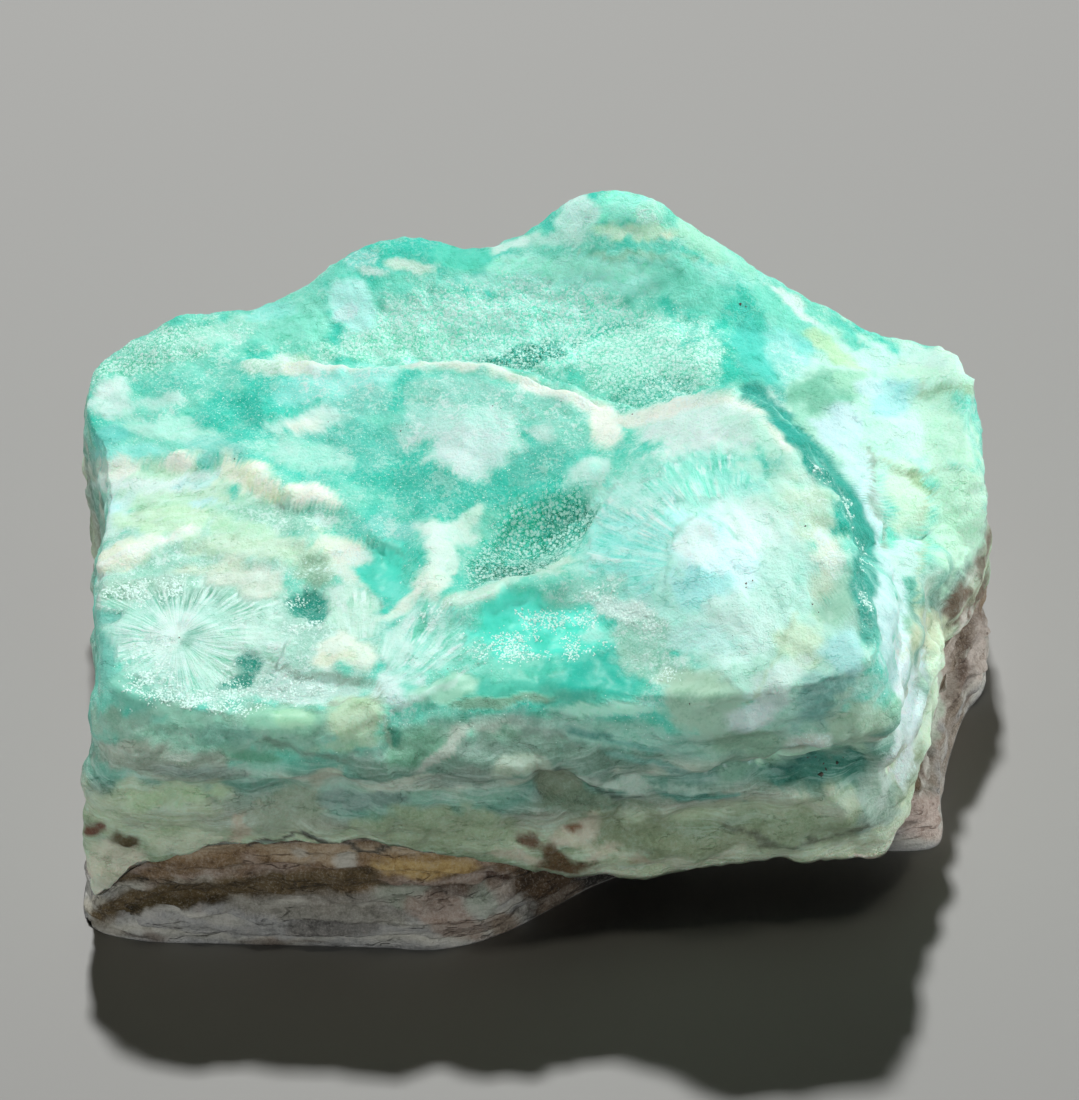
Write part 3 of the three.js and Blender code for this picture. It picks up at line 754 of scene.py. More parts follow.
# %% Patches of the middle, the pit and the pool
MIDDLE_PATCHES = [
    # middle: drip, saddle, teal fan
    (396, 530, 44, 14, -8, (24, 76, 66), 0.95, "sugar"),
    (386, 566, 26, 34, -12, (9, 68, 54), 1, "glass"), (395, 590, 18, 14, 0, (18, 74, 62), 0.8, "glass"),
    (446, 533, 38, 15, -6, (68, 92, 82), 1), (440, 558, 17, 28, 8, (72, 94, 84), 1),
    (430, 586, 24, 17, 20, (72, 92, 80), 1), (410, 604, 32, 9, 28, IVORY, 0.9),
    (470, 516, 22, 8, 32, (68, 90, 78), 0.8), (425, 642, 48, 42, 30, (38, 82, 70), 1, "fibres"),
    (398, 650, 16, 34, -20, MILK, 0.8, "fibres"),
    # pit
    (536, 532, 74, 36, 38, (8, 74, 58), 1, "druse"), (500, 562, 40, 22, 30, (7, 64, 50), 0.95, "druse"),
    (566, 532, 34, 32, 40, (3, 52, 40), 1, "druse"), (520, 568, 48, 12, 14, (6, 46, 35), 0.95, "druse"),
    (592, 518, 10, 20, -20, (3, 36, 27), 0.8, "druse"),
    # pool
    (540, 630, 80, 38, -4, (9, 76, 60), 1, "glass"), (536, 610, 66, 16, -8, (14, 86, 70), 0.9, "glass"),
    (545, 684, 122, 24, 2, (9, 57, 43), 1, "glass"), (600, 674, 60, 22, 0, (4, 53, 41), 1, "glass"),
    (500, 668, 44, 8, 5, (20, 66, 52), 0.6, "glass"),
    (450, 690, 36, 14, 25, (34, 66, 50), 0.9, "glass"), (505, 702, 52, 8, 6, (26, 50, 36), 0.9),
    (612, 708, 62, 6, 2, (46, 88, 72), 0.95, "glass"),
]
print(len(MIDDLE_PATCHES), "patches at the middle")

# %% Patches of the dome
DOME_PATCHES = [
    (780, 650, 120, 90, 0, (44, 76, 64), 1), (700, 560, 130, 120, 0, (50, 92, 81), 1),
    (712, 430, 78, 32, 2, (70, 99, 88), 1, "sugar"),
    (700, 475, 70, 26, 10, (36, 88, 75), 0.85, "fibres"),
    (735, 470, 34, 18, -15, (30, 82, 70), 0.7, "fibres"),
    (640, 535, 48, 60, -25, (44, 92, 84), 1, "fibres"),
    (630, 560, 42, 40, 0, (34, 86, 78), 0.75, "fibres"),
    (640, 500, 30, 22, -20, (50, 86, 76), 0.6, "fibres"),
    (590, 590, 46, 18, 10, (36, 80, 67), 0.9, "sugar"), (626, 612, 44, 16, -24, WHITE, 0.75, "sugar"),
    (648, 640, 40, 24, 0, (40, 80, 65), 0.9, "sugar"),
    (660, 668, 46, 18, -8, (42, 76, 62), 0.8, "sugar"), (724, 560, 56, 50, 0, (68, 100, 99), 1),
    (700, 545, 28, 24, 20, WHITE, 0.7), (760, 530, 46, 30, -30, WHITE, 0.8),
    (706, 592, 34, 26, 0, (36, 84, 80), 0.8), (740, 630, 56, 44, 0, MILK, 0.95),
    (700, 640, 40, 20, 0, (54, 92, 84), 0.8), (790, 575, 40, 50, -20, (50, 82, 72), 0.8),
    (808, 510, 26, 54, 28, (60, 82, 64), 0.95, "sugar"), (800, 480, 20, 24, 30, CREAM, 0.6, "sugar"),
    (824, 555, 14, 34, 12, IVORY, 0.7, "sugar"), (836, 604, 22, 26, -8, (34, 62, 48), 0.9, "glass"),
    (820, 585, 14, 16, 0, (52, 66, 50), 0.7), (800, 645, 28, 26, 0, (58, 78, 58), 0.85),
    (843, 655, 24, 24, -40, (40, 76, 74), 0.9), (770, 690, 46, 22, 50, (60, 80, 74), 0.9),
    (706, 704, 52, 32, -8, (37, 60, 47), 1, "glass"),
    (690, 682, 36, 14, -5, (44, 68, 52), 0.8, "glass"), (748, 716, 26, 16, 30, (62, 80, 78), 0.85),
    (822, 698, 36, 28, 30, (22, 50, 44), 0.95, "layers"), (855, 722, 34, 26, 40, (44, 66, 50), 0.9),
    (806, 742, 24, 9, 8, (66, 80, 72), 0.95, "sugar"), (750, 745, 40, 16, -5, (30, 52, 38), 0.9),
]
print(len(DOME_PATCHES), "patches at the dome")

# %% Patches right of the seam
SEAM_PATCHES = [
    (850, 420, 120, 110, 0, (52, 88, 74), 1), (756, 352, 22, 46, 22, (9, 66, 55), 1),
    (812, 470, 13, 34, 34, DEEP_TEAL, 1, "sugar"), (846, 525, 12, 42, 24, DEEP_TEAL, 1, "sugar"),
    (863, 590, 10, 44, 6, DEEP_TEAL, 1, "sugar"), (776, 400, 14, 22, 25, (14, 62, 52), 0.9, "sugar"),
    (792, 338, 36, 28, 35, (26, 80, 72), 1), (786, 356, 20, 30, 20, (40, 86, 78), 0.7, "sugar"),
    (780, 305, 50, 16, -35, MINT, 0.9), (795, 298, 36, 6, -33, WHITE, 0.9),
    (836, 342, 44, 12, -30, (54, 84, 56), 0.95), (822, 392, 46, 28, 20, (20, 56, 40), 1),
    (850, 380, 22, 16, 0, (40, 78, 58), 0.8), (800, 425, 18, 24, 30, (36, 74, 58), 0.9),
    (778, 412, 10, 26, 25, (62, 86, 76), 0.8), (876, 348, 34, 18, -20, (56, 90, 80), 0.95),
    (936, 370, 42, 34, -20, (60, 93, 76), 1), (920, 352, 30, 12, -25, MILK, 0.8),
    (892, 398, 26, 22, 20, (42, 82, 80), 0.95), (870, 385, 16, 10, 20, LAVENDER, 0.8),
    (942, 440, 38, 46, 0, (56, 90, 72), 1), (905, 430, 26, 24, 0, MILK, 0.85),
    (840, 430, 30, 24, -40, LAVENDER, 0.95), (856, 466, 16, 50, 14, (58, 86, 82), 1),
    (862, 520, 18, 44, 10, (66, 94, 93), 0.95), (905, 500, 26, 44, 8, (62, 90, 70), 0.95),
    (955, 520, 26, 70, -8, (54, 88, 68), 1), (900, 560, 22, 22, 0, MILK, 0.9),
    (886, 600, 20, 56, 16, (58, 86, 84), 1), (893, 650, 14, 50, 12, (50, 78, 77), 0.9, "layers"),
    (908, 690, 14, 70, 2, (74, 94, 93), 1), (905, 760, 12, 30, 2, (70, 84, 82), 0.9, "sugar"),
    (932, 640, 22, 30, 20, (56, 66, 46), 0.9), (931, 700, 13, 66, -4, (72, 94, 72), 1),
    (934, 770, 10, 30, -6, (66, 72, 54), 0.9), (952, 690, 8, 90, -10, (80, 78, 70), 0.8),
]
PATCHES = [*BACK_PATCHES, *LEFT_PATCHES, *LEDGE_PATCHES, *MIDDLE_PATCHES, *DOME_PATCHES, *SEAM_PATCHES]
print(len(PATCHES), "patches on the whole top")

# %% Patches of the front, in the same words
FRONT_PATCHES = [
    (520, 720, 160, 26, 0, (28, 50, 38), 1), (770, 735, 110, 30, 5, (36, 62, 50), 1),
    (500, 760, 180, 24, 0, (22, 38, 30), 1, "layers"),
    (165, 755, 100, 18, -3, SHADE_GREY, 0.85, "layers"),
    (140, 745, 50, 8, 5, SHADE_PALE, 0.6, "layers"), (205, 772, 60, 6, -6, (24, 32, 28), 0.7, "layers"),
    (150, 800, 80, 26, 0, SHADE_GREEN, 0.9, "layers"), (172, 796, 60, 12, 3, (50, 68, 45), 0.8),
    (254, 760, 30, 9, -4, (16, 46, 31), 0.9), (286, 810, 46, 24, 10, (36, 45, 34), 0.9),
    (327, 780, 22, 11, 35, PINKISH, 0.8), (365, 800, 52, 10, 4, (18, 30, 26), 0.9, "layers"),
    (410, 782, 38, 8, 10, SHADE_PALE, 0.85, "layers"), (440, 828, 92, 22, 0, (35, 46, 30), 0.9),
    (420, 745, 46, 24, 14, (20, 46, 32), 0.95), (440, 752, 44, 7, 36, (50, 58, 51), 0.9, "layers"),
    (488, 726, 40, 8, 8, (52, 60, 53), 0.85, "layers"),
    (462, 775, 52, 10, 12, (25, 35, 29), 0.85, "layers"),
    # the dark patch at 560, 786 is painted shade in a recess of the front
    (520, 768, 42, 13, 4, (46, 58, 46), 0.9, "layers"), (560, 786, 26, 20, -20, (24, 29, 20), 0.85),
    (545, 728, 50, 9, -8, (30, 44, 38), 0.8, "layers"), (620, 732, 80, 16, -8, (40, 74, 62), 0.9),
    (592, 732, 30, 5, -10, (12, 38, 32), 0.9, "layers"), (632, 744, 36, 4, -10, (20, 54, 46), 0.8),
    (655, 764, 56, 5, -14, (24, 56, 48), 0.8), (690, 776, 40, 6, -10, (28, 52, 45), 0.85, "layers"),
    (615, 782, 44, 7, -7, (54, 72, 62), 0.95), (690, 789, 26, 5, -4, (40, 60, 51), 0.9),
    # the dark patch at 600, 808 is painted shade in a recess under a ledge
    (700, 799, 50, 7, -2, (12, 36, 29), 0.95, "layers"), (600, 808, 62, 11, -4, (20, 29, 20), 0.9),
    (735, 770, 26, 16, 30, (26, 50, 38), 0.85), (620, 836, 78, 18, 0, (24, 31, 19), 0.85),
    (690, 843, 50, 12, -4, (30, 38, 24), 0.8), (750, 835, 40, 12, 12, (34, 42, 28), 0.8),
    (820, 822, 70, 20, 6, (34, 45, 30), 0.9), (835, 800, 34, 4, 8, (52, 62, 48), 0.8),
    # the near-black patches at 826, 773 and 800, 764 are painted shade in the window recess
    (826, 773, 56, 20, 0, (7, 27, 21), 1, "layers"), (800, 764, 30, 6, 0, (5, 20, 17), 0.8, "layers"),
    (880, 800, 24, 36, -20, (34, 50, 42), 0.85, "layers"),
    (888, 780, 8, 30, -16, (50, 62, 56), 0.7, "layers"), (110, 872, 42, 34, 0, STONE_PALE, 0.95),
    (96, 908, 30, 14, 0, (50, 50, 42), 0.8), (195, 845, 52, 14, 0, (60, 70, 53), 0.8),
    (240, 826, 9, 16, -10, (56, 52, 40), 0.8), (90, 827, 13, 7, 0, (16, 8, 5), 1),
    (124, 841, 16, 8, -8, (11, 9, 4.5), 1), (574, 837, 28, 13, 18, (62, 62, 50), 0.95),
    (520, 856, 26, 6, -4, (56, 54, 42), 0.85), (606, 852, 24, 6, 24, (60, 61, 48), 0.9),
    # the patches at 553, 874 and 556, 856 are dark brown rock made darker still, as painted shade under the
    # lip
    (553, 874, 44, 20, 4, (12, 8, 3.8), 1), (556, 856, 15, 12, -30, (12, 8, 3.8), 1),
    (531, 841, 15, 8, -8, (17, 12, 7.5), 1), (576, 830, 7, 5, 0, (26, 17, 10), 1),
    (640, 858, 14, 4, 0, (30, 20, 10), 0.8), (912, 838, 22, 16, 35, (58, 48, 40), 0.9),
    (987, 560, 11, 54, -6, (22, 20, 15), 1), (966, 606, 18, 26, -40, (17, 13, 9), 1),
]
print(len(FRONT_PATCHES), "patches on the front")

# %% Growth layers where the camera doesn't look, from the lip up: height, colour
SIDE_BANDS = [
    (3, STONE_PALE), (12, SHADE_GREEN), (16, OLIVE), (18, SHADE_GREEN), (21, SHADE_GREY),
    (23.5, SHADE_TEAL), (25, SHADE_MINT), (26.2, SHADE_PALE), (28, SHADE_TEAL), (29.5, SHADE_MINT),
    (31.5, SAGE), (33, MINT), (36, PALE_MINT), (39, MINT), (48, TEAL),
]
print("the side has", len(SIDE_BANDS), "layers of colour")

# %% Lines: width, colour, share, then the line's points
CONTACT_CRACK = (
    3, (7, 7, 5.5), 0.9,
    [(248, 846), (262, 840), (280, 841), (300, 837), (318, 840), (345, 841), (358, 850), (373, 853),
     (386, 848)],
)
CREST_LINES = [
    (9, IVORY, 0.9,
     [(290, 368), (348, 365), (414, 363), (457, 363), (500, 370), (550, 385), (586, 399), (607, 414)]),
    (13, IVORY, 0.95, [(530, 383), (560, 392), (586, 402), (607, 416), (640, 421), (668, 414)]),
    (7, IVORY, 0.9, [(655, 417), (693, 404), (725, 400), (748, 411), (768, 429), (788, 455)]),
]
LINES = [
    (12, (3, 42, 34), 1, [(752, 392), (779, 420), (807, 455), (832, 490), (850, 520), (862, 555)]),
    (17, (2.5, 38, 30), 1, [(806, 452), (832, 486), (850, 516), (860, 550), (864, 590)]),
    (11, (5, 40, 32), 0.9, [(858, 560), (864, 600), (870, 640)]),
    (3, (32, 70, 60), 0.6,
     [(664, 604), (663, 590), (668, 552), (678, 532), (695, 519), (712, 521), (728, 527), (738, 537)]),
    (8, (62, 88, 74), 0.95, [(448, 603), (480, 596), (516, 580), (548, 573), (572, 566)]),
    (3, (14, 46, 36), 0.6, [(371, 541), (388, 546), (406, 554)]),
    (3, (42, 62, 44), 0.6, [(796, 615), (786, 640), (775, 662), (762, 684), (748, 702)]),
    (3, (46, 64, 46), 0.7, [(882, 458), (893, 470), (911, 477), (932, 474)]),
    (5, (34, 56, 30), 0.8, [(911, 477), (921, 488), (932, 492)]),
    (3, (46, 64, 45), 0.7, [(922, 500), (921, 540), (918, 580), (916, 612)]),
    (4, (30, 44, 34), 0.7, [(869, 448), (874, 470), (868, 492), (880, 520), (884, 548)]),
    (4, (36, 60, 40), 0.7, [(922, 398), (938, 396), (954, 390), (972, 392)]),
    (3, (36, 52, 42), 0.6, [(268, 662), (300, 676), (330, 679), (355, 680), (374, 690), (384, 708)]),
    (3, (36, 50, 38), 0.7, [(334, 704), (356, 701), (374, 707), (384, 720), (388, 745)]),
    (3, (50, 74, 66), 0.7, [(392, 714), (420, 702), (450, 684), (468, 672)]),
    (4, WHITE, 0.8, [(96, 484), (140, 487), (180, 484), (222, 474)]),
    (4, IVORY, 0.9, [(92, 568), (125, 560), (160, 545), (190, 532)]),
    # these two dark lines are painted shade along the foot of ledges on the front
    (3, (16, 24, 18), 0.5, [(264, 742), (290, 748), (316, 754), (345, 762)]),
    (4, (8, 14, 11), 0.8, [(560, 766), (585, 782), (615, 795), (645, 798)]),
    CONTACT_CRACK,
    (3, (12, 14, 10), 0.7, [(720, 826), (745, 832), (790, 836), (840, 830), (865, 820)]),
    (4, (62, 66, 50), 0.7, [(560, 836), (600, 850), (650, 858), (720, 858), (745, 846)]),
]
print(len(CREST_LINES) + len(LINES), "lines on the smithsonite")

# %% Laying the colours
RAGGED = 0.30  # how ragged a patch's edge is, as a share of its reach
PATCH_FADE = (0.66, 1.12)  # shares of its reach between which a patch fades away
LINE_FADE = (0.45, 1.1)  # the same for a line, as shares of its width
LINE_WAVER = 1.2


def in_reaches(view, across, below, wide, high, turn):
    """Squared distance in the view from the middle of a turned ellipse, counted in its reaches."""
    return turned(view[:, 0], view[:, 1], (across, -below), (wide, high), turn)


def over(under, colour, share):
    """A colour in percent laid over the colours of points by a share for each point."""
    return under + (np.array(colour) / 100 - under) * share[:, None]


def layer_colours(height, bands):
    """The colour at each height, read between the heights of the bands."""
    heights, colours = zip(*bands)
    return np.column_stack([np.interp(height, heights, shares) for shares in np.array(colours).T / 100])


def lay_patches(points, view, patches, colours, finish, seen):
    """Lays each patch over those before it, by its share inside a turned ellipse whose edge is made
    ragged with noise, and its finish over those before it. A patch that names none is plain wax."""
    edge = RAGGED * layered(points / 2.6, 5, 33)
    for patch in patches:
        place, (colour, share, *kind) = patch[:5], patch[5:]
        laid = seen * share * (1 - ramp(np.sqrt(in_reaches(view, *place)) + edge, *PATCH_FADE))
        colours = over(colours, colour, laid)
        for name in finish:
            finish[name] += ((name in kind) - finish[name]) * laid
    return colours


def draw_lines(points, view, lines, colours, seen):
    """Draws each line over the colours, with a little waver."""
    waver = LINE_WAVER * layered(points / 1.2, 2, 34)
    for width, colour, share, line in lines:
        distance = line_in_view(line, view)[0] + waver
        faded = ramp(distance, width * LINE_FADE[0], width * LINE_FADE[1])
        colours = over(colours, colour, seen * share * (1 - faded))
    return colours


# %% The smithsonite's colours
# how far down a point is: 0 on the top, 0 to 1 on the side, 1 at the lip and 2 under it
TO_SIDE = (0.12, 0.5)  # how far down the side's layers take over from the top's colour
TO_FRONT = (0.1, 0.3)  # and the front's patches come in
TO_LAYERS = (0.1, 0.5)  # and the finish turns from sugary to layered
TO_UNDER_LIP_SHADE = (1.02, 1.12)
LEFT_BREAK = (42, 50)  # mm to the left, where patches of the top stop at the edge of the broken side
LEFT_BREAK_DOWN = (0.32, 0.55)
CREST_WIDTH = (2, 3.5)  # mm on either side of the crest in which its lines are drawn


def smithsonite_colours(points, down, finish):
    """The side's layers by height, the top's plain mint, painted shade under the lip, then patches and
    lines.
    """
    warp = layered(points / 13, 4, 31)
    level = points[:, 2] + 1.8 * warp + 0.6 * layered(points * (0.05, 0.05, 0.9), 2, 32)
    side = layer_colours(level, SIDE_BANDS)
    top = over(np.tile(MINT, (len(points), 1)) / 100, TEAL, ramp(warp, -0.4, 0.5))
    colours = top + (side - top) * ramp(down + 0.1 * warp, *TO_SIDE)[:, None]
    finish["layers"] += ramp(down, *TO_LAYERS)
    finish["sugar"] += 0.6 * (1 - ramp(down, *TO_LAYERS))
    on_front = facing * ramp(down, *TO_FRONT)
    colours = lay_patches(points, crooked, FRONT_PATCHES, colours, finish, on_front)
    # painted shade: the underside of the lip is coloured near black, so little light bounces in under it
    colours = over(colours, UNDER_LIP_PAINTED_SHADE, ramp(down, *TO_UNDER_LIP_SHADE))
    left_side = ramp(-points[:, 0], *LEFT_BREAK) * ramp(down, *LEFT_BREAK_DOWN)
    colours = lay_patches(points, crooked, PATCHES, colours, finish, facing * (1 - left_side))
    on_crest = 1 - ramp(line_in_plan(points, MIDDLE_RIDGE["crest"]), *CREST_WIDTH)
    colours = draw_lines(points, crooked, CREST_LINES, colours, facing * on_crest)
    return draw_lines(points, crooked, LINES, colours, facing)


finish = {kind: np.zeros(len(form)) for kind in ("druse", "sugar", "fibres", "layers", "glass")}
tint = smithsonite_colours(form, down, finish)
print("mean colour", tint.mean(axis=0).round(2))
print("mean finish", {kind: round(float(share.mean()), 2) for kind, share in finish.items()})

# %% [markdown]
# ## Relief
# What makes broken smithsonite read as stone is its relief at a few scales: lobes as wide as a finger,
# ledges where a growth layer ends, cracks, and roughness finer than that. Each is a number for every
# point, added along the way the surface faces. The mesh carries it, so it is there from every side.

# %% Small forms: across, down, reach along, reach across, turn, lift, flatness
SMALL_FORMS = [
    (556, 500, 44, 26, 20, 1.7, 1), (540, 536, 56, 26, 38, -0.5, 3), (545, 625, 66, 30, -4, -0.5, 3),
    (388, 568, 20, 30, -12, -0.7, 1), (478, 442, 58, 32, -8, 0.9, 1), (592, 480, 26, 20, 20, 0.7, 1),
    (438, 562, 22, 40, 15, 0.7, 1), (288, 722, 44, 18, 0, 0.8, 1), (360, 722, 30, 26, 8, 0.6, 3),
    (396, 690, 30, 18, 15, 0.4, 3), (308, 610, 22, 18, 0, -0.5, 1), (240, 678, 17, 14, 0, -0.4, 1),
    (112, 400, 26, 20, 35, 0.5, 3), (246, 474, 38, 18, -25, 1.0, 1), (312, 497, 28, 11, -12, 0.7, 1),
    (182, 463, 20, 11, 2, 0.5, 3), (300, 322, 46, 22, 8, 0.5, 1), (936, 370, 40, 30, -20, 1.1, 3),
    (955, 520, 26, 70, -8, 0.9, 3), (905, 500, 22, 40, 8, 0.5, 3), (900, 560, 18, 18, 0, 0.7, 1),
    (822, 392, 44, 26, 20, 0.8, 1), (892, 400, 24, 20, 20, -0.7, 1), (834, 604, 24, 28, -8, -0.7, 1),
    (815, 645, 22, 18, 20, 0.6, 1), (800, 560, 26, 44, -20, 0.4, 3), (826, 772, 52, 20, 0, -1.4, 3),
    (808, 742, 26, 12, 8, 0.8, 1), (855, 722, 34, 24, 40, 0.8, 1), (706, 702, 46, 30, -8, 0.6, 1),
    (931, 700, 14, 66, -4, 0.9, 3), (908, 690, 10, 80, 2, -0.6, 1), (520, 768, 40, 12, 4, 0.9, 1),
    (560, 790, 26, 16, -20, -0.9, 1), (615, 782, 44, 7, -7, 0.8, 1), (600, 808, 62, 11, -4, -0.8, 1),
    (650, 740, 60, 12, -10, 0.6, 1), (430, 745, 30, 18, 14, -0.6, 1), (455, 745, 40, 8, 36, 0.6, 1),
    (254, 762, 30, 9, -4, -0.7, 1), (175, 800, 60, 20, 0, 0.7, 1), (290, 812, 40, 18, 10, -0.7, 1),
    (440, 830, 70, 16, 0, 0.6, 1), (690, 843, 50, 14, -4, 0.8, 1), (820, 825, 60, 14, 6, 0.8, 1),
]
print(len(SMALL_FORMS), "small forms")

# %% Pushes in mm that bring the outline into place: across, down, reach along, reach across, push
NUDGES = [
    (96, 590, 26, 60, (-1.3, 0, 0)), (82, 800, 40, 80, (0.6, 0, 0)), (870, 330, 100, 44, (0, 0, -2.2)),
]
print("the outline is pushed by up to", max(max(map(abs, push)) for *_, push in NUDGES), "mm")

# %% Steps, raised on the right of someone who walks along the line: lift, reach, then the line's points
STEPS = [
    (0.35, 44,
     [(664, 612), (663, 590), (668, 552), (678, 532), (695, 519), (712, 521), (728, 526), (738, 537)]),
    (0.8, 16, [(436, 606), (480, 596), (516, 580), (548, 573), (572, 562), (590, 535), (603, 502)]),
    (-1.3, 26, [(607, 414), (586, 397), (550, 383), (500, 368), (457, 361), (400, 364)]),
    (0.8, 30, [(745, 402), (779, 430), (807, 463), (834, 500), (850, 545), (858, 600), (866, 640)]),
    (0.7, 40, [(848, 420), (868, 448), (874, 470), (868, 492), (878, 520), (884, 550)]),
    (0.4, 26, [(752, 696), (762, 684), (775, 662), (786, 640), (796, 615)]),
    (0.8, 34, [(334, 704), (356, 701), (374, 707), (384, 720), (388, 745)]),
    (0.5, 40, [(384, 708), (374, 690), (355, 680), (330, 679), (300, 676), (268, 662)]),
    (0.45, 34, [(462, 676), (446, 686), (420, 704), (396, 714)]),
    (0.6, 30, [(962, 392), (950, 390), (938, 396), (922, 400)]),
    (0.7, 30, [(932, 474), (911, 477), (893, 470), (880, 456)]),
    (-1.0, 26, [(258, 738), (285, 744), (310, 752), (345, 757)]),
    (-0.9, 30, [(556, 764), (585, 782), (615, 795), (645, 798), (690, 795)]),
    (-0.9, 24, [(770, 770), (800, 757), (850, 756), (884, 757)]),
    (0.7, 22, [(780, 790), (820, 792), (880, 800)]),
    (0.8, 40, [(300, 562), (245, 568), (200, 550), (160, 554), (125, 568), (94, 574)]),
    (0.5, 30, [(406, 556), (388, 548), (370, 543), (340, 530)]),
]
print(len(STEPS), "steps")

# %% Kinds of roughness
KNOB_SPREAD = 1.05  # a knob's foot, in sizes from its middle
KNOB_LEVEL = 0.6  # the height on a knob that leaves the surface where it was


def steps_of(height, pitch, sharp=0.22):
    """A staircase: flat treads a pitch apart with short risers, less the even slope it follows."""
    level = height / pitch
    share = level - np.floor(level)
    return (np.floor(level) + ramp(share, 1 - sharp, 1) - level) * pitch


def lobes(points, size, seed):
    """Rounded knobs with creases between: high in the middle of each cell, falling as a circle does."""
    nearest = cells(points / size, seed)[0]
    return np.sqrt(np.clip(1 - (nearest / KNOB_SPREAD) ** 2, 0, 1)) - KNOB_LEVEL


print("knobs add", lobes(sample, 1, 24).mean().round(2), "of their height on average")

# %% The drawn forms, and how strong each kind of relief is, in mm
RELIEF = {
    "swell": 0.2, "rough": 0.1, "steps": 0.1, "strata": 0.12, "folds": 0.7, "knobs": 0.5, "rim": 0.16,
    "ledges": 0.16, "druse": 0.14, "right knobs": 0.9, "crest": 0.35, "crest knots": 0.3, "lip": 0.45,
}
LAYER_PITCH = 2.3  # mm from one growth layer to the next
STEP_EDGE = (-3.5, 3.5)  # how wide a drawn step is in the view
STEP_ENDS = (0, 22)  # and how far from its ends it fades in


def drawn_relief(view):
    """The small forms as turned bells, and the steps: full lift at the line, less to its right."""
    relief = np.zeros(len(view))
    for *place, lift, flatness in SMALL_FORMS:
        relief += lift * np.exp(-(in_reaches(view, *place) ** flatness))
    for lift, reach, line in STEPS:
        distance, side = line_in_view(line, view)
        right = np.where(side < 0, distance, -distance)
        ends = [np.hypot(view[:, 0] - line[k][0], view[:, 1] + line[k][1]) for k in (0, -1)]
        away_from_ends = ramp(np.minimum(*ends), *STEP_ENDS)
        relief += lift * away_from_ends * ramp(right, *STEP_EDGE) * np.exp(-((distance / reach) ** 2))
    return relief


print(len(RELIEF), "kinds of relief, the strongest", max(RELIEF.values()), "mm")


# %% Relief of the smithsonite, all kinds together
def smithsonite_relief(points, down, finish, facing):
    """Sum of every kind of relief, each where its finish says. A noise's size in mm is what its points
    are divided by. All of it fades out under the lip."""
    side = ramp(down, 0.1, 0.45)
    warp = layered(points / 12, 3, 21)
    rough = 1 - 0.7 * finish["glass"]
    swell = RELIEF["swell"] * layered(points / 5, 4, 22)
    relief = rough * (swell + RELIEF["rough"] * layered(points / 1.3, 2, 28))
    growth = points[:, 2] + 2.2 * warp + 0.05 * points[:, 0]
    strata = layered(points * (0.11, 0.11, 0.75) + warp[:, None] * 0.6, 4, 23)
    layers = RELIEF["steps"] * steps_of(growth, LAYER_PITCH) + RELIEF["strata"] * strata
    layers = layers + RELIEF["folds"] * layered(points / 7, 3, 29)
    knobs = lobes(points * (1, 1, 1.5) + 2 * warp[:, None], 9, 24)
    relief += side * (layers + RELIEF["knobs"] * knobs)
    relief += RELIEF["rim"] * layered(points / 1.9, 2, 35) * (1 - ramp(abs(down - 0.12), 0.1, 0.35))
    ledges = layered(points * (0.25, 1.1, 1.1), 3, 30)
    relief += (1 - side) * finish["layers"] * RELIEF["ledges"] * ledges
    relief += finish["druse"] * RELIEF["druse"] * lobes(points, 1.5, 25)
    right_knobs = lobes(points * (1, 0.7, 1), 8, 26) - 0.1
    relief += RELIEF["right knobs"] * ramp(points[:, 0], 36, 42) * right_knobs
    relief += facing * drawn_relief(0.5 * (wavered(points, seen_at(points)) + seen_at(points)))
    crest = 1 - ramp(line_in_plan(points, MIDDLE_RIDGE["crest"]), 0.4, 1.8)
    knots = RELIEF["crest"] + RELIEF["crest knots"] * layered(points / 2.2, 2, 27)
    relief += (1 - side) * crest * knots
    return relief * ramp(-down, -1.6, -1.05)


relief = smithsonite_relief(form, down, finish, facing)
shaped = form + normals * relief[:, None]
ragged = ramp(down, 0.72, 1) * (1 - ramp(down, 1.2, 1.8))
shaped[:, 2] += ragged * RELIEF["lip"] * layered(form * (1, 1, 0) / 5, 4, 39)
for *place, push in NUDGES:
    shaped += np.exp(-in_reaches(view, *place, 0))[:, None] * np.array(push)
print("relief from", relief.min().round(2), "to", relief.max().round(2), "mm")

# %% [markdown]
# ## The grain's own direction
# Fibres fan out from a few points, and layers run round the stone. A material can only stretch a pattern
# one way, so each point of the mesh carries a place in a grain of its own: near a fan it is the turn
# around the centre and the distance from it, elsewhere a stretched copy of its place.

# %% Grain places
FAN_CENTRES = [(177, 638), (366, 720), (735, 572)]
SIDE_GRAIN = 0.25  # how far down the grain of the side begins
FAN_GRAIN = 0.35  # and how fibrous a place is where a fan's grain begins
NEAR_CENTRE = (4, 26)  # how far from a fan's middle its fibres come in
RAY_TURN = 17  # how fine the fibres are round a fan
RAY_LENGTH = 34  # how long they are, in units of the view


def thinned_growth(points, view, down, finish):
    """Fibres that fade towards the middle of each fan and come and go with noise. Both kinds of growth
    also fade away where the grain changes from one sort of place to another, since the pattern would be
    squeezed there like a comb."""
    ways = [np.linalg.norm(view - (across, -below), axis=1) for across, below in FAN_CENTRES]
    near = ramp(np.min(ways, axis=0), *NEAR_CENTRE)
    come_and_go = 0.4 + 0.6 * ramp(layered(points / 3.5, 3, 40), -0.35, 0.25)
    off_side = ramp(abs(down - SIDE_GRAIN), 0.03, 0.08)
    off_fan = ramp(abs(finish["fibres"] - FAN_GRAIN), 0.1, 0.25)
    unbroken = off_side * off_fan
    return finish["fibres"] * near * come_and_go * unbroken, finish["layers"] * unbroken


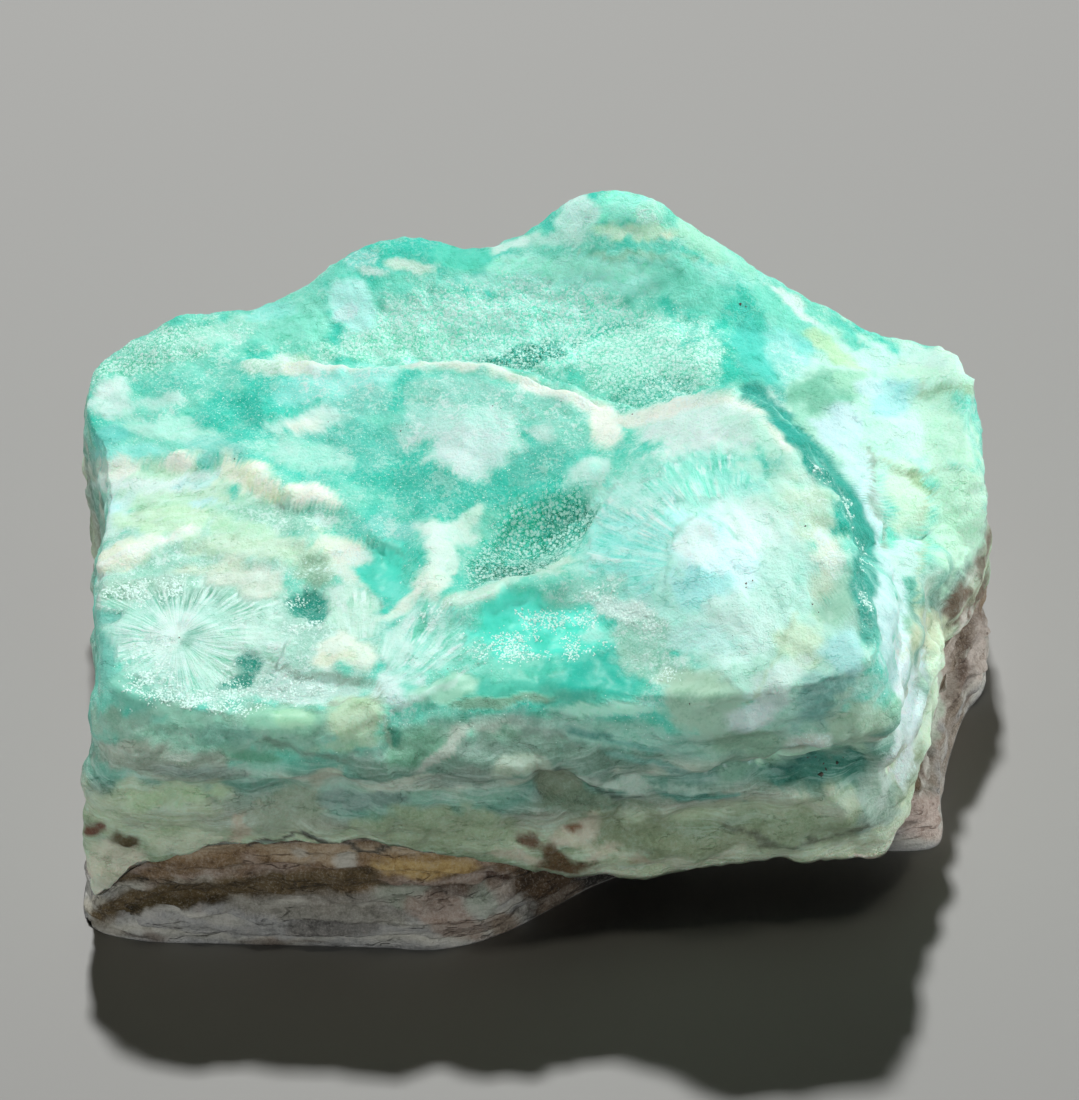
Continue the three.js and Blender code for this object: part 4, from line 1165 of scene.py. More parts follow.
def grain_places(points, view, down, finish):
    """Three numbers for each point. On a fan they are the cosine and sine of the bearing, times a
    fineness, and the distance; on the side, the height times more than the rest; on the top, a place
    stretched along streaks that rise to the right."""
    x, y, z = points.T
    slanted = np.column_stack([0.25 * x + 0.1 * y, 1.2 * y - 0.4 * x, 0.3 * z])
    warp = layered(points / 9, 3, 36)
    bedded = np.column_stack([0.16 * x, 0.16 * y, 1.7 * (z + 1.2 * warp)])
    grain = np.where(down[:, None] > SIDE_GRAIN, bedded, slanted)
    ways = [view - (across, -below) for across, below in FAN_CENTRES]
    lengths = np.stack([np.linalg.norm(way, axis=1) for way in ways])
    nearest = lengths.argmin(axis=0)
    way = np.stack(ways)[nearest, np.arange(len(points))]
    length = np.maximum(lengths.min(axis=0), 1)
    along = length / RAY_LENGTH + 0.5 * warp + 9 * nearest
    fan = np.column_stack([way * RAY_TURN / length[:, None], along])
    return np.where(finish["fibres"][:, None] > FAN_GRAIN, fan, grain)


grain = grain_places(form, view, down, finish)
finish["fibres"], finish["layers"] = thinned_growth(form, view, down, finish)
print("grain places from", grain.min().round(1), "to", grain.max().round(1))


# %% Putting numbers into a mesh
def make_mesh(name, points, quads, triangles=()):
    """A mesh object in metres, at the origin, from arrays of points and faces."""
    mesh = bpy.data.meshes.new(name)
    corners = np.concatenate([np.ravel(quads), np.ravel(triangles)]).astype(np.int32)
    sizes = np.concatenate([np.full(len(quads), 4), np.full(len(triangles), 3)]).astype(np.int32)
    mesh.vertices.add(len(points))
    mesh.vertices.foreach_set("co", (points * MM).astype(np.float32).ravel())
    mesh.loops.add(len(corners))
    mesh.loops.foreach_set("vertex_index", corners)
    mesh.polygons.add(len(sizes))
    mesh.polygons.foreach_set("loop_start", np.concatenate([[0], np.cumsum(sizes)[:-1]]).astype(np.int32))
    mesh.update(calc_edges=True)
    mesh.validate()
    obj = bpy.data.objects.new(name, mesh)
    scene.collection.objects.link(obj)
    return obj


def paint(obj, name, colours):
    """Stores a colour for each point, for the material to read by name."""
    layer = obj.data.attributes.new(name, "FLOAT_COLOR", "POINT")
    filled = np.column_stack([colours, np.ones(len(colours))])
    layer.data.foreach_set("color", filled.astype(np.float32).ravel())


def smooth_shaded(obj):
    """Shades a mesh as one rounded surface, so that its faces don't show."""
    obj.data.polygons.foreach_set("use_smooth", np.ones(len(obj.data.polygons), bool))


# %% The smithsonite's mesh
smithsonite = make_mesh("smithsonite_body", shaped, quads, fan)
smooth_shaded(smithsonite)
paint(smithsonite, "tint", tint)
paint(smithsonite, "crust", np.column_stack([finish["druse"], finish["sugar"], finish["glass"]]))
paint(smithsonite, "growth", np.column_stack([finish["fibres"], finish["layers"], np.zeros(len(form))]))
paint(smithsonite, "grain", grain)
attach(smithsonite, "root")
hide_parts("smithsonite")
print("smithsonite_body has", len(smithsonite.data.polygons), "faces")

# %% [markdown]
# ## The host rock
# Below the smithsonite is the rock it grew on: a thin slab in layers, ochre and brown where iron has
# stained it, grey and white lower down, broken all round. It is a second closed surface of the same
# kind, with its own relief and its own layer colours.

# %% The host rock's form
ROCK_GRID = 150
ROCK_ROWS = 76
ROCK_UNDER_ROWS = 4


def rock_form():
    """Points of the host rock: the hidden face it shares with the smithsonite, the side from the seat
    down to the foot, and the flat underside. The second list is 0 on top, 0 to 1 down the side, and 2
    underneath."""
    radius, turn = disc_grid(ROCK_GRID)
    seat = outline_at(SEAT, bearing_at(turn.ravel()))
    share = radius.reshape(-1, 1)
    flat = AXIS + share * (seat[:, :2] - AXIS)
    rings = [(np.column_stack([flat, core_height(seat[:, 2], share[:, 0])]), 0)]
    bearings = bearing_at(np.arange(4 * ROCK_GRID) / (4 * ROCK_GRID))
    seat, base = outline_at(SEAT, bearings), outline_at(BASE, bearings)
    outward = unit(seat[:, :2] - AXIS)
    for share in np.arange(1, ROCK_ROWS + 1) / ROCK_ROWS:
        flat = seat[:, :2] + (base - seat[:, :2]) * share
        height = seat[:, 2] * (1 - share)
        out = rock_out(flat[:, 0], flat[:, 1], height) * np.sin(np.pi * share)
        rings.append((np.column_stack([flat + outward * out[:, None], height]), share))
    for share in np.arange(ROCK_UNDER_ROWS - 1, 0, -1) / ROCK_UNDER_ROWS:
        rings.append((np.column_stack([AXIS + share * (base - AXIS), np.zeros(len(base))]), 2))
    rings.append((np.array([[*AXIS, 0.0]]), 2))
    return joined(rings)


rock, rock_down = rock_form()
rock_quads, rock_fan = closed_faces(ROCK_GRID, ROCK_ROWS + ROCK_UNDER_ROWS - 1)
rock_normals = vertex_normals(rock, rock_quads)
rock_view = seen_at(rock)
rock_facing = facing_camera(rock, rock_normals)
print("host rock:", len(rock), "points,", 2 * len(rock_quads) + len(rock_fan), "triangles")

# %% The host rock's colours
OCHRE = (56, 41, 17)
TAN = (56, 47, 33)
DARK_BROWN = (7.5, 5, 2.8)
WEDGE_BROWN = (11, 7.5, 2.6)
STONE_GREY = (30, 29.5, 25)
BLUE_GREY = (40, 41, 40)
STONE_WHITE = (62, 62, 55)
ROSE_GREY = (42, 34, 28)
ROCK_BANDS = [
    (0, BLUE_GREY), (1.5, STONE_WHITE), (3, BLUE_GREY), (4, STONE_WHITE), (5.5, BLUE_GREY),
    (6.5, STONE_GREY), (7.5, STONE_WHITE), (8.5, WEDGE_BROWN), (10, BROWN), (11, ROSE_GREY),
    (12, BROWN), (13.5, (30, 20, 10)), (15, TAN), (16, BROWN), (18, STONE_WHITE),
]
print("the host rock has", len(ROCK_BANDS), "bands")

# %% Patches, lines and forms of the host rock, in the same words as the smithsonite's
ROCK_PATCHES = [
    (255, 925, 130, 14, -3, BLUE_GREY, 0.9), (330, 914, 90, 10, -3, STONE_GREY, 0.85),
    (200, 918, 60, 5, -6, STONE_WHITE, 0.6), (335, 928, 44, 8, 0, (15, 14.5, 13), 0.8),
    # the darker grey at 290, 892 is painted shade under the brown band
    (330, 898, 90, 7, 0, (30, 29, 25), 0.9), (290, 892, 50, 5, 4, (17, 15.5, 13), 0.8),
    (180, 903, 104, 9, 11, (8.5, 6, 1.8), 1), (110, 915, 22, 8, 30, WEDGE_BROWN, 0.8),
    (182, 884, 42, 6, 10, (50, 48, 41), 0.95), (186, 869, 50, 8, 6, (24, 16, 8.5), 1),
    (300, 874, 76, 15, 3, (25, 17, 10), 1), (270, 872, 26, 9, 10, ROSE_GREY, 0.7),
    (318, 853, 48, 13, 0, (50, 40, 27), 0.95), (300, 852, 9, 7, 0, STONE_WHITE, 0.7),
    (346, 858, 14, 10, 0, STONE_WHITE, 0.9), (300, 886, 60, 5, 2, DARK_BROWN, 0.6),
    (350, 889, 30, 6, -2, (28, 18, 8), 0.8), (432, 866, 62, 13, -1, OCHRE, 1),
    (425, 858, 50, 4, 0, (34, 22, 9), 0.7), (508, 866, 20, 13, 0, (22, 14, 7), 0.95),
    # the near-black patch at 500, 881 is painted shade in a narrow slot of the rock
    (500, 881, 16, 4, 0, (7, 3.5, 2), 0.95), (405, 897, 36, 12, 0, (40, 45, 37), 0.9),
    (448, 892, 24, 8, 10, (13, 8.5, 6), 0.7), (440, 912, 34, 18, -15, ROSE_GREY, 0.9),
    (460, 930, 34, 12, -10, (38, 30, 24), 0.8), (486, 902, 20, 15, 0, (48, 54, 46), 0.95),
    # the near-black patches at 590, 882 and 546, 878 are painted shade under the overhanging lip, over dark
    # brown rock
    (505, 925, 18, 12, 20, (30, 23, 16), 0.8), (590, 882, 84, 34, 22, (0.8, 0.6, 0.3), 1),
    (546, 878, 44, 28, 40, (8.5, 5, 2), 1), (560, 900, 26, 8, 30, (22, 17, 12), 0.6),
    (98, 906, 24, 12, 0, (44, 42, 34), 0.8), (100, 928, 24, 10, -20, (34, 32, 26), 0.7),
    (965, 620, 34, 130, -14, (17, 11.5, 8), 1), (986, 560, 12, 60, -6, (30, 24, 17), 0.9),
    (982, 650, 14, 44, -10, (62, 56, 50), 0.9), (958, 650, 12, 50, -14, (20, 15, 10), 0.9),
    (945, 690, 14, 60, -12, (56, 50, 43), 0.9), (950, 745, 14, 50, -14, (30, 25, 19), 0.9),
    (925, 820, 30, 26, 30, (56, 46, 40), 0.9), (937, 702, 12, 44, -6, (64, 74, 62), 0.9),
]
ROCK_LINES = [
    (10, (13, 9, 3.4), 1, [(98, 915), (120, 903), (150, 895), (180, 891)]),
    (15, (13, 9, 3.4), 0.95, [(165, 893), (210, 889), (260, 887), (310, 885), (368, 880)]),
    CONTACT_CRACK,
]
ROCK_FORMS = [
    (180, 903, 100, 10, 12, -0.9, 2), (182, 884, 42, 5, 10, 0.5, 1), (322, 848, 36, 10, 0, 0.7, 1),
    (300, 896, 70, 5, 2, -0.6, 1), (432, 866, 56, 10, -1, 0.6, 3), (486, 902, 18, 13, 0, 0.9, 1),
    (448, 892, 24, 7, 10, -0.8, 1), (500, 882, 18, 4, 0, -0.8, 1), (545, 880, 40, 26, 35, -0.8, 1),
    (260, 930, 120, 8, -3, 0.5, 1), (960, 650, 8, 80, -14, -1.0, 1), (984, 640, 10, 60, -8, 0.7, 1),
]
print(len(ROCK_PATCHES), "patches and", len(ROCK_FORMS), "forms on the host rock")

# %% Colours and relief of the host rock
ROCK_RELIEF = {"steps": 0.5, "strata": 0.3, "rough": 0.26, "knobs": 0.6}  # mm
BED_PITCH = 2.6  # mm from one bed of the rock to the next


def rock_colours(points, view, seen):
    """Bands read by height, bent by noise, with stains, patches and lines over them."""
    warp = layered(points / 10, 4, 45)
    colours = layer_colours(points[:, 2] + 1.3 * warp, ROCK_BANDS)
    colours = over(colours, ROSE_GREY, 0.6 * ramp(layered(points / 7, 3, 46), 0.25, 0.7))
    colours = over(colours, DARK_BROWN, 0.6 * ramp(layered(points * (0.08, 0.08, 0.5), 3, 47), 0.35, 0.8))
    colours = lay_patches(points, view, ROCK_PATCHES, colours, {}, seen)
    return draw_lines(points, view, ROCK_LINES, colours, seen)


def rock_relief(points, down, view, seen):
    """Broken layers: a staircase that follows the bedding, rough noise stretched along it, knobs and
    the drawn forms, all fading out at the seat and the foot."""
    warp = layered(points / 9, 3, 41)
    bedding = points[:, 2] + 1.4 * warp
    strata = layered(points * (0.2, 0.2, 0.7), 3, 42)
    relief = ROCK_RELIEF["steps"] * steps_of(bedding, BED_PITCH) + ROCK_RELIEF["strata"] * strata
    rough = ROCK_RELIEF["rough"] * layered(points / 2.2, 3, 43)
    relief += rough + ROCK_RELIEF["knobs"] * lobes(points * (1, 1, 1.5), 5, 44)
    for *place, lift, flatness in ROCK_FORMS:
        relief += seen * lift * np.exp(-(in_reaches(view, *place) ** flatness))
    return relief * np.sqrt(np.clip(np.sin(np.pi * np.clip(down, 0, 1)), 0, 1))


# %% The host rock's mesh
rock_tint = rock_colours(rock, rock_view, rock_facing)
rock_shaped = rock + rock_normals * rock_relief(rock, rock_down, rock_view, rock_facing)[:, None]
rock_shaped[:, 2] = np.maximum(rock_shaped[:, 2], 0)
matrix = make_mesh("matrix_body", rock_shaped, rock_quads, rock_fan)
smooth_shaded(matrix)
paint(matrix, "tint", rock_tint)
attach(matrix, "root")
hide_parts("matrix")
print("the host rock's mean colour", rock_tint.mean(axis=0).round(2))

# %% [markdown]
# ## Sugary crystals
# The druse is a crust of crystals about a third of a millimetre long. Bump shading alone would look
# flat, and real instances are lost in the exported model, so each crystal is a closed tip of four
# faces, and all of them are joined into a few meshes. They are sown by area, so that they stand equally
# close everywhere on the map's sugary places.


# %% Sowing crystals
LEAN = 0.22  # how far the tips lean off the way the surface faces
UPRIGHT = 0.2  # a tip that would lie flatter than this stands straight up
UNEVEN_SIZES = (0.6, 1.3)
FOOT, SUNK, TIP = 0.5, 0.2, 0.16  # a tip's radius, the depth of its foot and its height, in sizes


def sow(name, weight, count, sizes, seed, whitest=0.0):
    """Picks faces at random in proportion to area times weight, a random place on each, and stands a
    three-sided tip there, leaning at random. The tip's foot is sunk a little so that it grows out of
    the stone."""
    random = np.random.default_rng(seed)
    a, b, c, d = (shaped[quads[:, k]] for k in range(4))
    area = np.linalg.norm(np.cross(c - a, d - b), axis=1) / 2
    share = weight[quads].mean(axis=1)
    chosen = random.choice(len(quads), count, p=area * share / (area * share).sum())
    u, v = random.random((2, count, 1))
    foot = (1 - v) * ((1 - u) * a[chosen] + u * b[chosen]) + v * ((1 - u) * d[chosen] + u * c[chosen])
    across = (b - a)[chosen]
    outward = unit(np.cross((c - a)[chosen], (d - b)[chosen]))
    lean = unit(outward + LEAN * random.normal(size=(count, 3)))
    lean = np.where((lean * outward).sum(axis=1, keepdims=True) < UPRIGHT, outward, lean)
    first = unit(np.cross(lean, across))
    second = np.cross(lean, first)
    size = random.uniform(*sizes, (count, 1)) * random.uniform(*UNEVEN_SIZES, (count, 1))
    start = random.uniform(0, 2 * np.pi, (count, 1))
    corners = []
    for third in range(3):
        angle = start + 2 * np.pi * third / 3
        sideways = np.cos(angle) * first + np.sin(angle) * second
        corners.append(foot + size * (FOOT * sideways - SUNK * lean))
    corners.append(foot + TIP * size * lean)
    points = np.stack(corners, axis=1).reshape(-1, 3)
    base = 4 * np.arange(count)[:, None]
    faces = np.concatenate([base + tip for tip in ((0, 2, 1), (0, 1, 3), (1, 2, 3), (2, 0, 3))], axis=0)
    crust = make_mesh(name, points, np.zeros((0, 4), int), faces)
    tone = np.repeat(whitest + (1 - whitest) * random.random(count), 4)
    under = np.repeat(tint[quads[chosen]].mean(axis=1), 4, axis=0)
    paint(crust, "tint", under)
    paint(crust, "tone", np.stack([tone] * 3, axis=1))
    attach(crust, "root")
    print(name, "has", count, "crystals of", round(float(size.mean()), 2), "mm")
    return crust


def on_places(view, places):
    """1 inside any of the turned ellipses drawn in the view, fading out at their edges."""
    mask = np.zeros(len(view))
    for place in places:
        mask = np.maximum(mask, np.exp(-(in_reaches(view, *place) ** 2)))
    return mask


# %% The three crusts, and where the glitter is: across, down, reach along, reach across, turn
GLITTER = [
    (530, 645, 60, 16, 4), (560, 622, 40, 12, -6), (625, 612, 40, 14, -24), (306, 624, 16, 8, 0),
    (296, 606, 10, 8, 0), (240, 678, 16, 10, 0), (232, 694, 14, 5, 10), (200, 700, 60, 10, -10),
    (150, 672, 20, 30, -30), (150, 590, 44, 10, 10), (290, 690, 40, 12, -10), (666, 676, 14, 6, 0),
    (858, 556, 4, 14, 12), (540, 655, 56, 7, 0), (818, 478, 5, 18, 32), (843, 512, 4, 14, 22),
    (866, 606, 3, 12, 4), (500, 650, 30, 12, 10), (430, 612, 30, 5, 20),
]
behind = ramp(crest_side, 0, 1)
slope = (finish["druse"] + 0.16 * finish["sugar"]) * (1 - behind) * facing
glitter = on_places(crooked, GLITTER) * ramp(layered(form / 2.2, 3, 48), -0.25, 0.15)
crusts = [
    sow("druse_behind_ridge", finish["druse"] * behind, 26000, (0.28, 0.44), 51),
    sow("druse_front_slope", slope, 20000, (0.24, 0.38), 52),
    sow("glitter_crystals", glitter * facing, 4000, (0.4, 0.75), 53, whitest=0.5),
]

# %% [markdown]
# ## Dark specks
# A few grains of dark ore sit in the crust, most of them along the ridge and in the hollow on the front.
# Painted dots would be as flat as ink, so each is a small low pyramid, placed where the line of sight
# through its place in the view first meets the stone.

# %% Dark specks: across and down in the view, and size in mm
SPECKS = [
    (494, 405, 0.5), (500, 409, 0.35), (403, 431, 0.5), (407, 426, 0.3), (513, 407, 0.35), (524, 412, 0.3),
    (748, 583, 0.75), (752, 579, 0.45), (745, 588, 0.4), (806, 526, 0.5), (810, 605, 0.6), (818, 611, 0.4),
    (732, 636, 0.3), (629, 391, 0.4), (633, 414, 0.35), (741, 304, 0.9), (745, 306, 0.6), (808, 757, 0.7),
    (815, 755, 0.6), (822, 762, 0.7), (822, 775, 0.8), (828, 770, 0.6), (835, 762, 0.6), (845, 757, 0.5),
    (232, 458, 0.55), (327, 421, 0.35), (178, 638, 0.4), (181, 586, 0.4), (441, 580, 0.3), (560, 402, 0.35),
    (447, 669, 0.4), (688, 702, 0.4), (776, 512, 0.3), (612, 468, 0.3), (300, 843, 0.5),
]
SPECK_REACH = (0.35, 0.6)  # from a speck's middle to a corner, in sizes
SPECK_SUNK, SPECK_TIP = 0.15, 0.12  # mm its foot lies under the surface, and its tip over it
ASLANT = (0.3, 0.8, 0.5)  # a direction that no speck faces
OUT_OF_SIGHT = 99  # keeps specks off ground that faces away
PYRAMID = ((0, 1, 4), (1, 2, 4), (2, 3, 4), (3, 0, 4), (0, 2, 1), (0, 3, 2))


def specks_on(places, seed):
    """For each place, the mesh point that is seen nearest to it and faces the camera, and a pyramid of
    four uneven corners around it with a low tip."""
    random = np.random.default_rng(seed)
    seen = seen_at(shaped)
    corners = []
    for across, below, size in places:
        apart = np.hypot(seen[:, 0] - across, seen[:, 1] + below) + OUT_OF_SIGHT * (facing < 0.5)
        spot = apart.argmin()
        first = np.cross(normals[spot], ASLANT)
        first /= np.linalg.norm(first)
        second = np.cross(normals[spot], first)
        for corner in range(4):
            angle = np.pi / 2 * (corner + random.random() * 0.5)
            reach = size * random.uniform(*SPECK_REACH)
            foot = shaped[spot] - SPECK_SUNK * normals[spot]
            corners.append(foot + reach * (np.cos(angle) * first + np.sin(angle) * second))
        corners.append(shaped[spot] + SPECK_TIP * normals[spot])
    return np.array(corners)


speck_points = specks_on(SPECKS, 54)
start = 5 * np.arange(len(SPECKS))[:, None]
speck_faces = np.concatenate([start + face for face in PYRAMID])
specks = make_mesh("dark_specks", speck_points, np.zeros((0, 4), int), speck_faces)
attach(specks, "root")
print("specks:", len(SPECKS))

# %% [markdown]
# ## Floor
# A plain pale floor, wide enough to fill the view, with nothing on it.

# %% Floor
FLOOR_HALF = 1500
floor = make_mesh(
    "floor",
    np.array([(-1, -1, 0), (1, -1, 0), (1, 1, 0), (-1, 1, 0)], float) * FLOOR_HALF,
    np.array([(0, 1, 2, 3)]),
)
print("the floor is", 2 * FLOOR_HALF, "mm wide")

# %% [markdown]
# ## Materials
# Smithsonite is waxy to glassy: light goes a little way in and comes out tinted. The material starts
# from the painted colour, breaks it up with grain finer than the mesh, and lets some light through.
# Nodes could be wired by hand in the editor, but a few helpers let a material be read as sums. They
# add their nodes to the tree at hand: the one that was last given the name tree.


# %% Node helpers
def new_material(name):
    """An empty node material: the material, its tree of nodes, and its main shader."""
    material = bpy.data.materials.new(name)
    material.use_nodes = True
    tree = material.node_tree
    tree.nodes.clear()
    output = tree.nodes.new("ShaderNodeOutputMaterial")
    shader = tree.nodes.new("ShaderNodeBsdfPrincipled")
    tree.links.new(shader.outputs["BSDF"], output.inputs["Surface"])
    return material, tree, shader


def link(output, target):
    """Links an output to an input in the tree at hand."""
    tree.links.new(output, target)


def set_constants(shader, values):
    """Sets what is the same all over the surface on the shader's own sockets."""
    for name, value in values.items():
        shader.inputs[name].default_value = value


def add(kind, values=None, **settings):
    """Adds a node to the tree at hand and sets its options. A socket is linked to its input, a value is
    set on it."""
    node = tree.nodes.new(kind)
    for key, value in settings.items():
        setattr(node, key, value)
    for key, value in (values or {}).items():
        if isinstance(value, bpy.types.NodeSocket):
            link(value, node.inputs[key])
        else:
            node.inputs[key].default_value = value
    return node


def maths(operation, first, second=0.0, clamp=False):
    """One arithmetic step on sockets or numbers."""
    node = add("ShaderNodeMath", {0: first, 1: second}, operation=operation, use_clamp=clamp)
    return node.outputs[0]


def times(first, *others):
    """Sockets or numbers multiplied."""
    second = others[0] if len(others) == 1 else times(*others)
    return maths("MULTIPLY", first, second)


def plus(first, second):
    """Two sockets or numbers added."""
    return maths("ADD", first, second)


def less(first, second, clamp=False):
    """The second taken from the first, and kept from 0 to 1 where clamp is set."""
    return maths("SUBTRACT", first, second, clamp)


def blend_colours(share, first, second, how="MIX"):
    """Two colours mixed by a share."""
    values = {"Factor": share, 6: first, 7: second}
    return add("ShaderNodeMix", values, data_type="RGBA", blend_type=how).outputs[2]


def deepened(share, colour):
    """A colour made deeper, by being multiplied with itself by a share."""
    return blend_colours(share, colour, colour, "MULTIPLY")


def between(value, low, high):
    """0 below low, 1 above high, a smooth curve between."""
    values = {"Value": value, "From Min": low, "From Max": high}
    return add("ShaderNodeMapRange", values, interpolation_type="SMOOTHSTEP").outputs["Result"]


def noise(place, scale, detail=2.0, roughness=0.5):
    """Rolling noise from 0 to 1, with as many hills to a unit of the place as the scale says."""
    values = {"Vector": place, "Scale": scale, "Detail": detail, "Roughness": roughness}
    return add("ShaderNodeTexNoise", values).outputs[0]


# %% Helpers for places, stored values and groups
def scaled(place, times_each):
    """A place with each of its three numbers multiplied."""
    return add("ShaderNodeVectorMath", {0: place, 1: times_each}, operation="MULTIPLY").outputs[0]


def millimetres():
    """Where a point of the stone is, in millimetres."""
    place = add("ShaderNodeTexCoord").outputs["Object"]
    return add("ShaderNodeVectorMath", {0: place, "Scale": 1 / MM}, operation="SCALE").outputs[0]


def stored(name, output="Color"):
    """What is stored at the mesh's points under a name."""
    return add("ShaderNodeAttribute", attribute_name=name).outputs[output]


def split(colour):
    """The three numbers of a colour."""
    return add("ShaderNodeSeparateColor", {0: colour}).outputs


def shade_relief(shader, height, strength):
    """Shades a height in mm as relief that is finer than the mesh."""
    values = {"Height": height, "Strength": strength, "Distance": MM}
    link(add("ShaderNodeBump", values).outputs[0], shader.inputs["Normal"])


SOCKETS = {"number": "NodeSocketFloat", "colour": "NodeSocketColor", "place": "NodeSocketVector"}


def new_group(name, inputs, outputs):
    """A node group with named sockets, built once and placed in each material with its own values."""
    group = bpy.data.node_groups.new(name, "ShaderNodeTree")
    for side, sockets in (("INPUT", inputs), ("OUTPUT", outputs)):
        for label, kind in sockets.items():
            group.interface.new_socket(label, in_out=side, socket_type=SOCKETS[kind])
    return group, group.nodes.new("NodeGroupInput").outputs, group.nodes.new("NodeGroupOutput").inputs


def place_group(group, values):
    """Places a group in a material, with its own values."""
    return add("ShaderNodeGroup", values, node_tree=group).outputs


def tell(name):
    """Prints how many nodes a material or a group took."""
    print(name, "has", len(tree.nodes), "nodes")


# %% [markdown]
# ### Mottling
# Clouds of two sizes. Where they are dense the colour goes towards a paler one, and where they are thin
# it deepens, by being multiplied with itself. A grit of fine specks does both at its own small scale.

# %% Group: mottling
mottling, given, result = new_group(
    "stone_mottling",
    {"Place": "place", "Colour": "colour", "Pale colour": "colour", "Pale": "number", "Deep": "number",
     "Grit": "number"},
    {"Colour": "colour"},
)
tree = mottling
clouds = noise(given["Place"], 0.42, 8.0, 0.66)
fine = noise(given["Place"], 1.9, 4.0, 0.7)
both = plus(times(clouds, 0.6), times(fine, 0.4))
pale = times(between(both, 0.49, 0.66), given["Pale"])
deep = times(between(both, 0.51, 0.36), given["Deep"])
lighter = blend_colours(pale, given["Colour"], given["Pale colour"])
darker = blend_colours(deep, lighter, given["Colour"], "MULTIPLY")
speckle = noise(given["Place"], 3.6, 2.0, 0.8)
darker = deepened(times(between(speckle, 0.52, 0.38), given["Grit"]), darker)
grit = times(between(speckle, 0.52, 0.66), given["Grit"])
link(blend_colours(grit, darker, given["Pale colour"]), result["Colour"])
tell("mottling")

# %% [markdown]
# ### Crystal grains
# Each cell of a Voronoi pattern is a grain. A cell's own random colour decides whether it is one of the
# white ones, and the distance from its middle gives the grain its rounded height.

# %% Group: crystal grains
grains, given, result = new_group(
    "crystal_grains",
    {"Place": "place", "Grains per mm": "number", "White share": "number"},
    {"White": "number", "Gap": "number", "Height": "number"},
)
tree = grains
cell = add("ShaderNodeTexVoronoi", {"Vector": given["Place"], "Scale": given["Grains per mm"]})
chance = split(cell.outputs["Color"])[0]
chosen = maths("GREATER_THAN", chance, less(1.0, given["White share"]))
round_top = between(cell.outputs["Distance"], 0.62, 0.3)
link(times(chosen, round_top), result["White"])
link(between(cell.outputs["Distance"], 0.4, 0.7), result["Gap"])
link(times(round_top, plus(chance, 0.3)), result["Height"])
tell("crystal grains")

# %% [markdown]
# ### Frost
# Fine irregular white specks that crowd together in some places and leave others clear: a fine noise is
# cut off high or low by a coarse one.

# %% Group: frost
frost, given, result = new_group(
    "frost",
    {"Place": "place", "Share": "number"},
    {"White": "number", "Height": "number"},
)
tree = frost
speck = noise(given["Place"], 2.2, 4.0, 0.75)
crowd = noise(given["Place"], 0.33, 5.0, 0.6)
level = plus(speck, times(less(crowd, 0.5), 0.9))
link(times(between(level, 0.52, 0.63), given["Share"]), result["White"])
link(speck, result["Height"])
tell("frost")

# %% [markdown]
# ### Fine cracks
# A thin line wherever a noise passes through its middle value: it closes on itself and wanders as a
# crack does. A second noise leaves most of each line out.

# %% Group: fine cracks
cracks, given, result = new_group(
    "fine_cracks",
    {"Place": "place", "Cracks per mm": "number"},
    {"Line": "number"},
)
tree = cracks
bends = noise(given["Place"], given["Cracks per mm"], 4.0, 0.6)
thin = between(maths("ABSOLUTE", less(bends, 0.5)), 0.014, 0.0)
broken = noise(given["Place"], 0.5)
link(times(thin, between(broken, 0.48, 0.6)), result["Line"])
tell("fine cracks")

# %% [markdown]
# ### Growth streaks
# Noise read at the grain's own places: round a fan it becomes fibres, along the side it becomes layers.

# %% Group: growth streaks
streaks, given, result = new_group(
    "growth_streaks",
    {"Grain": "place"},
    {"Pale": "number", "Deep": "number", "Height": "number"},
)
tree = streaks
wave = noise(given["Grain"], 1.0, 5.0, 0.62)
link(between(wave, 0.5, 0.58), result["Pale"])
link(between(wave, 0.48, 0.38), result["Deep"])
link(wave, result["Height"])
tell("growth streaks")

# %% [markdown]
# ### The smithsonite
# The stored masks say where the stone is sugary, fibrous, layered or glassy. Each effect is laid on by
# its mask: white grains and dark gaps on the druse, frost on the sugar, streaks on the fibres and
# layers, cracks on the plain wax between them. The same masks give the fine relief, and the glassy
# places are the smoothest.

# %% Smithsonite material: masks and effects
SUGAR_WHITE = (0.74, 0.98, 0.91, 1)  # a socket takes fractions, and opacity last
smithsonite_look, tree, shader = new_material("smithsonite_look")
place = millimetres()
base = stored("tint")
druse, sugar, glass = split(stored("crust"))
fibres, layers, _ = split(stored("growth"))
crusty = maths("MAXIMUM", druse, sugar)
not_glass = less(1.0, glass, clamp=True)
plain = less(1.0, maths("MAXIMUM", crusty, glass), clamp=True)
streak = place_group(streaks, {"Grain": stored("grain", "Vector")})
stipple = place_group(grains, {"Place": place, "Grains per mm": 2.3, "White share": 0.6})
dust = place_group(frost, {"Place": place, "Share": sugar})
bent = scaled(place, (0.6, 1.0, 1.3))
crack = times(place_group(cracks, {"Place": bent, "Cracks per mm": 0.3})["Line"], plain)
tell("the smithsonite's look so far")

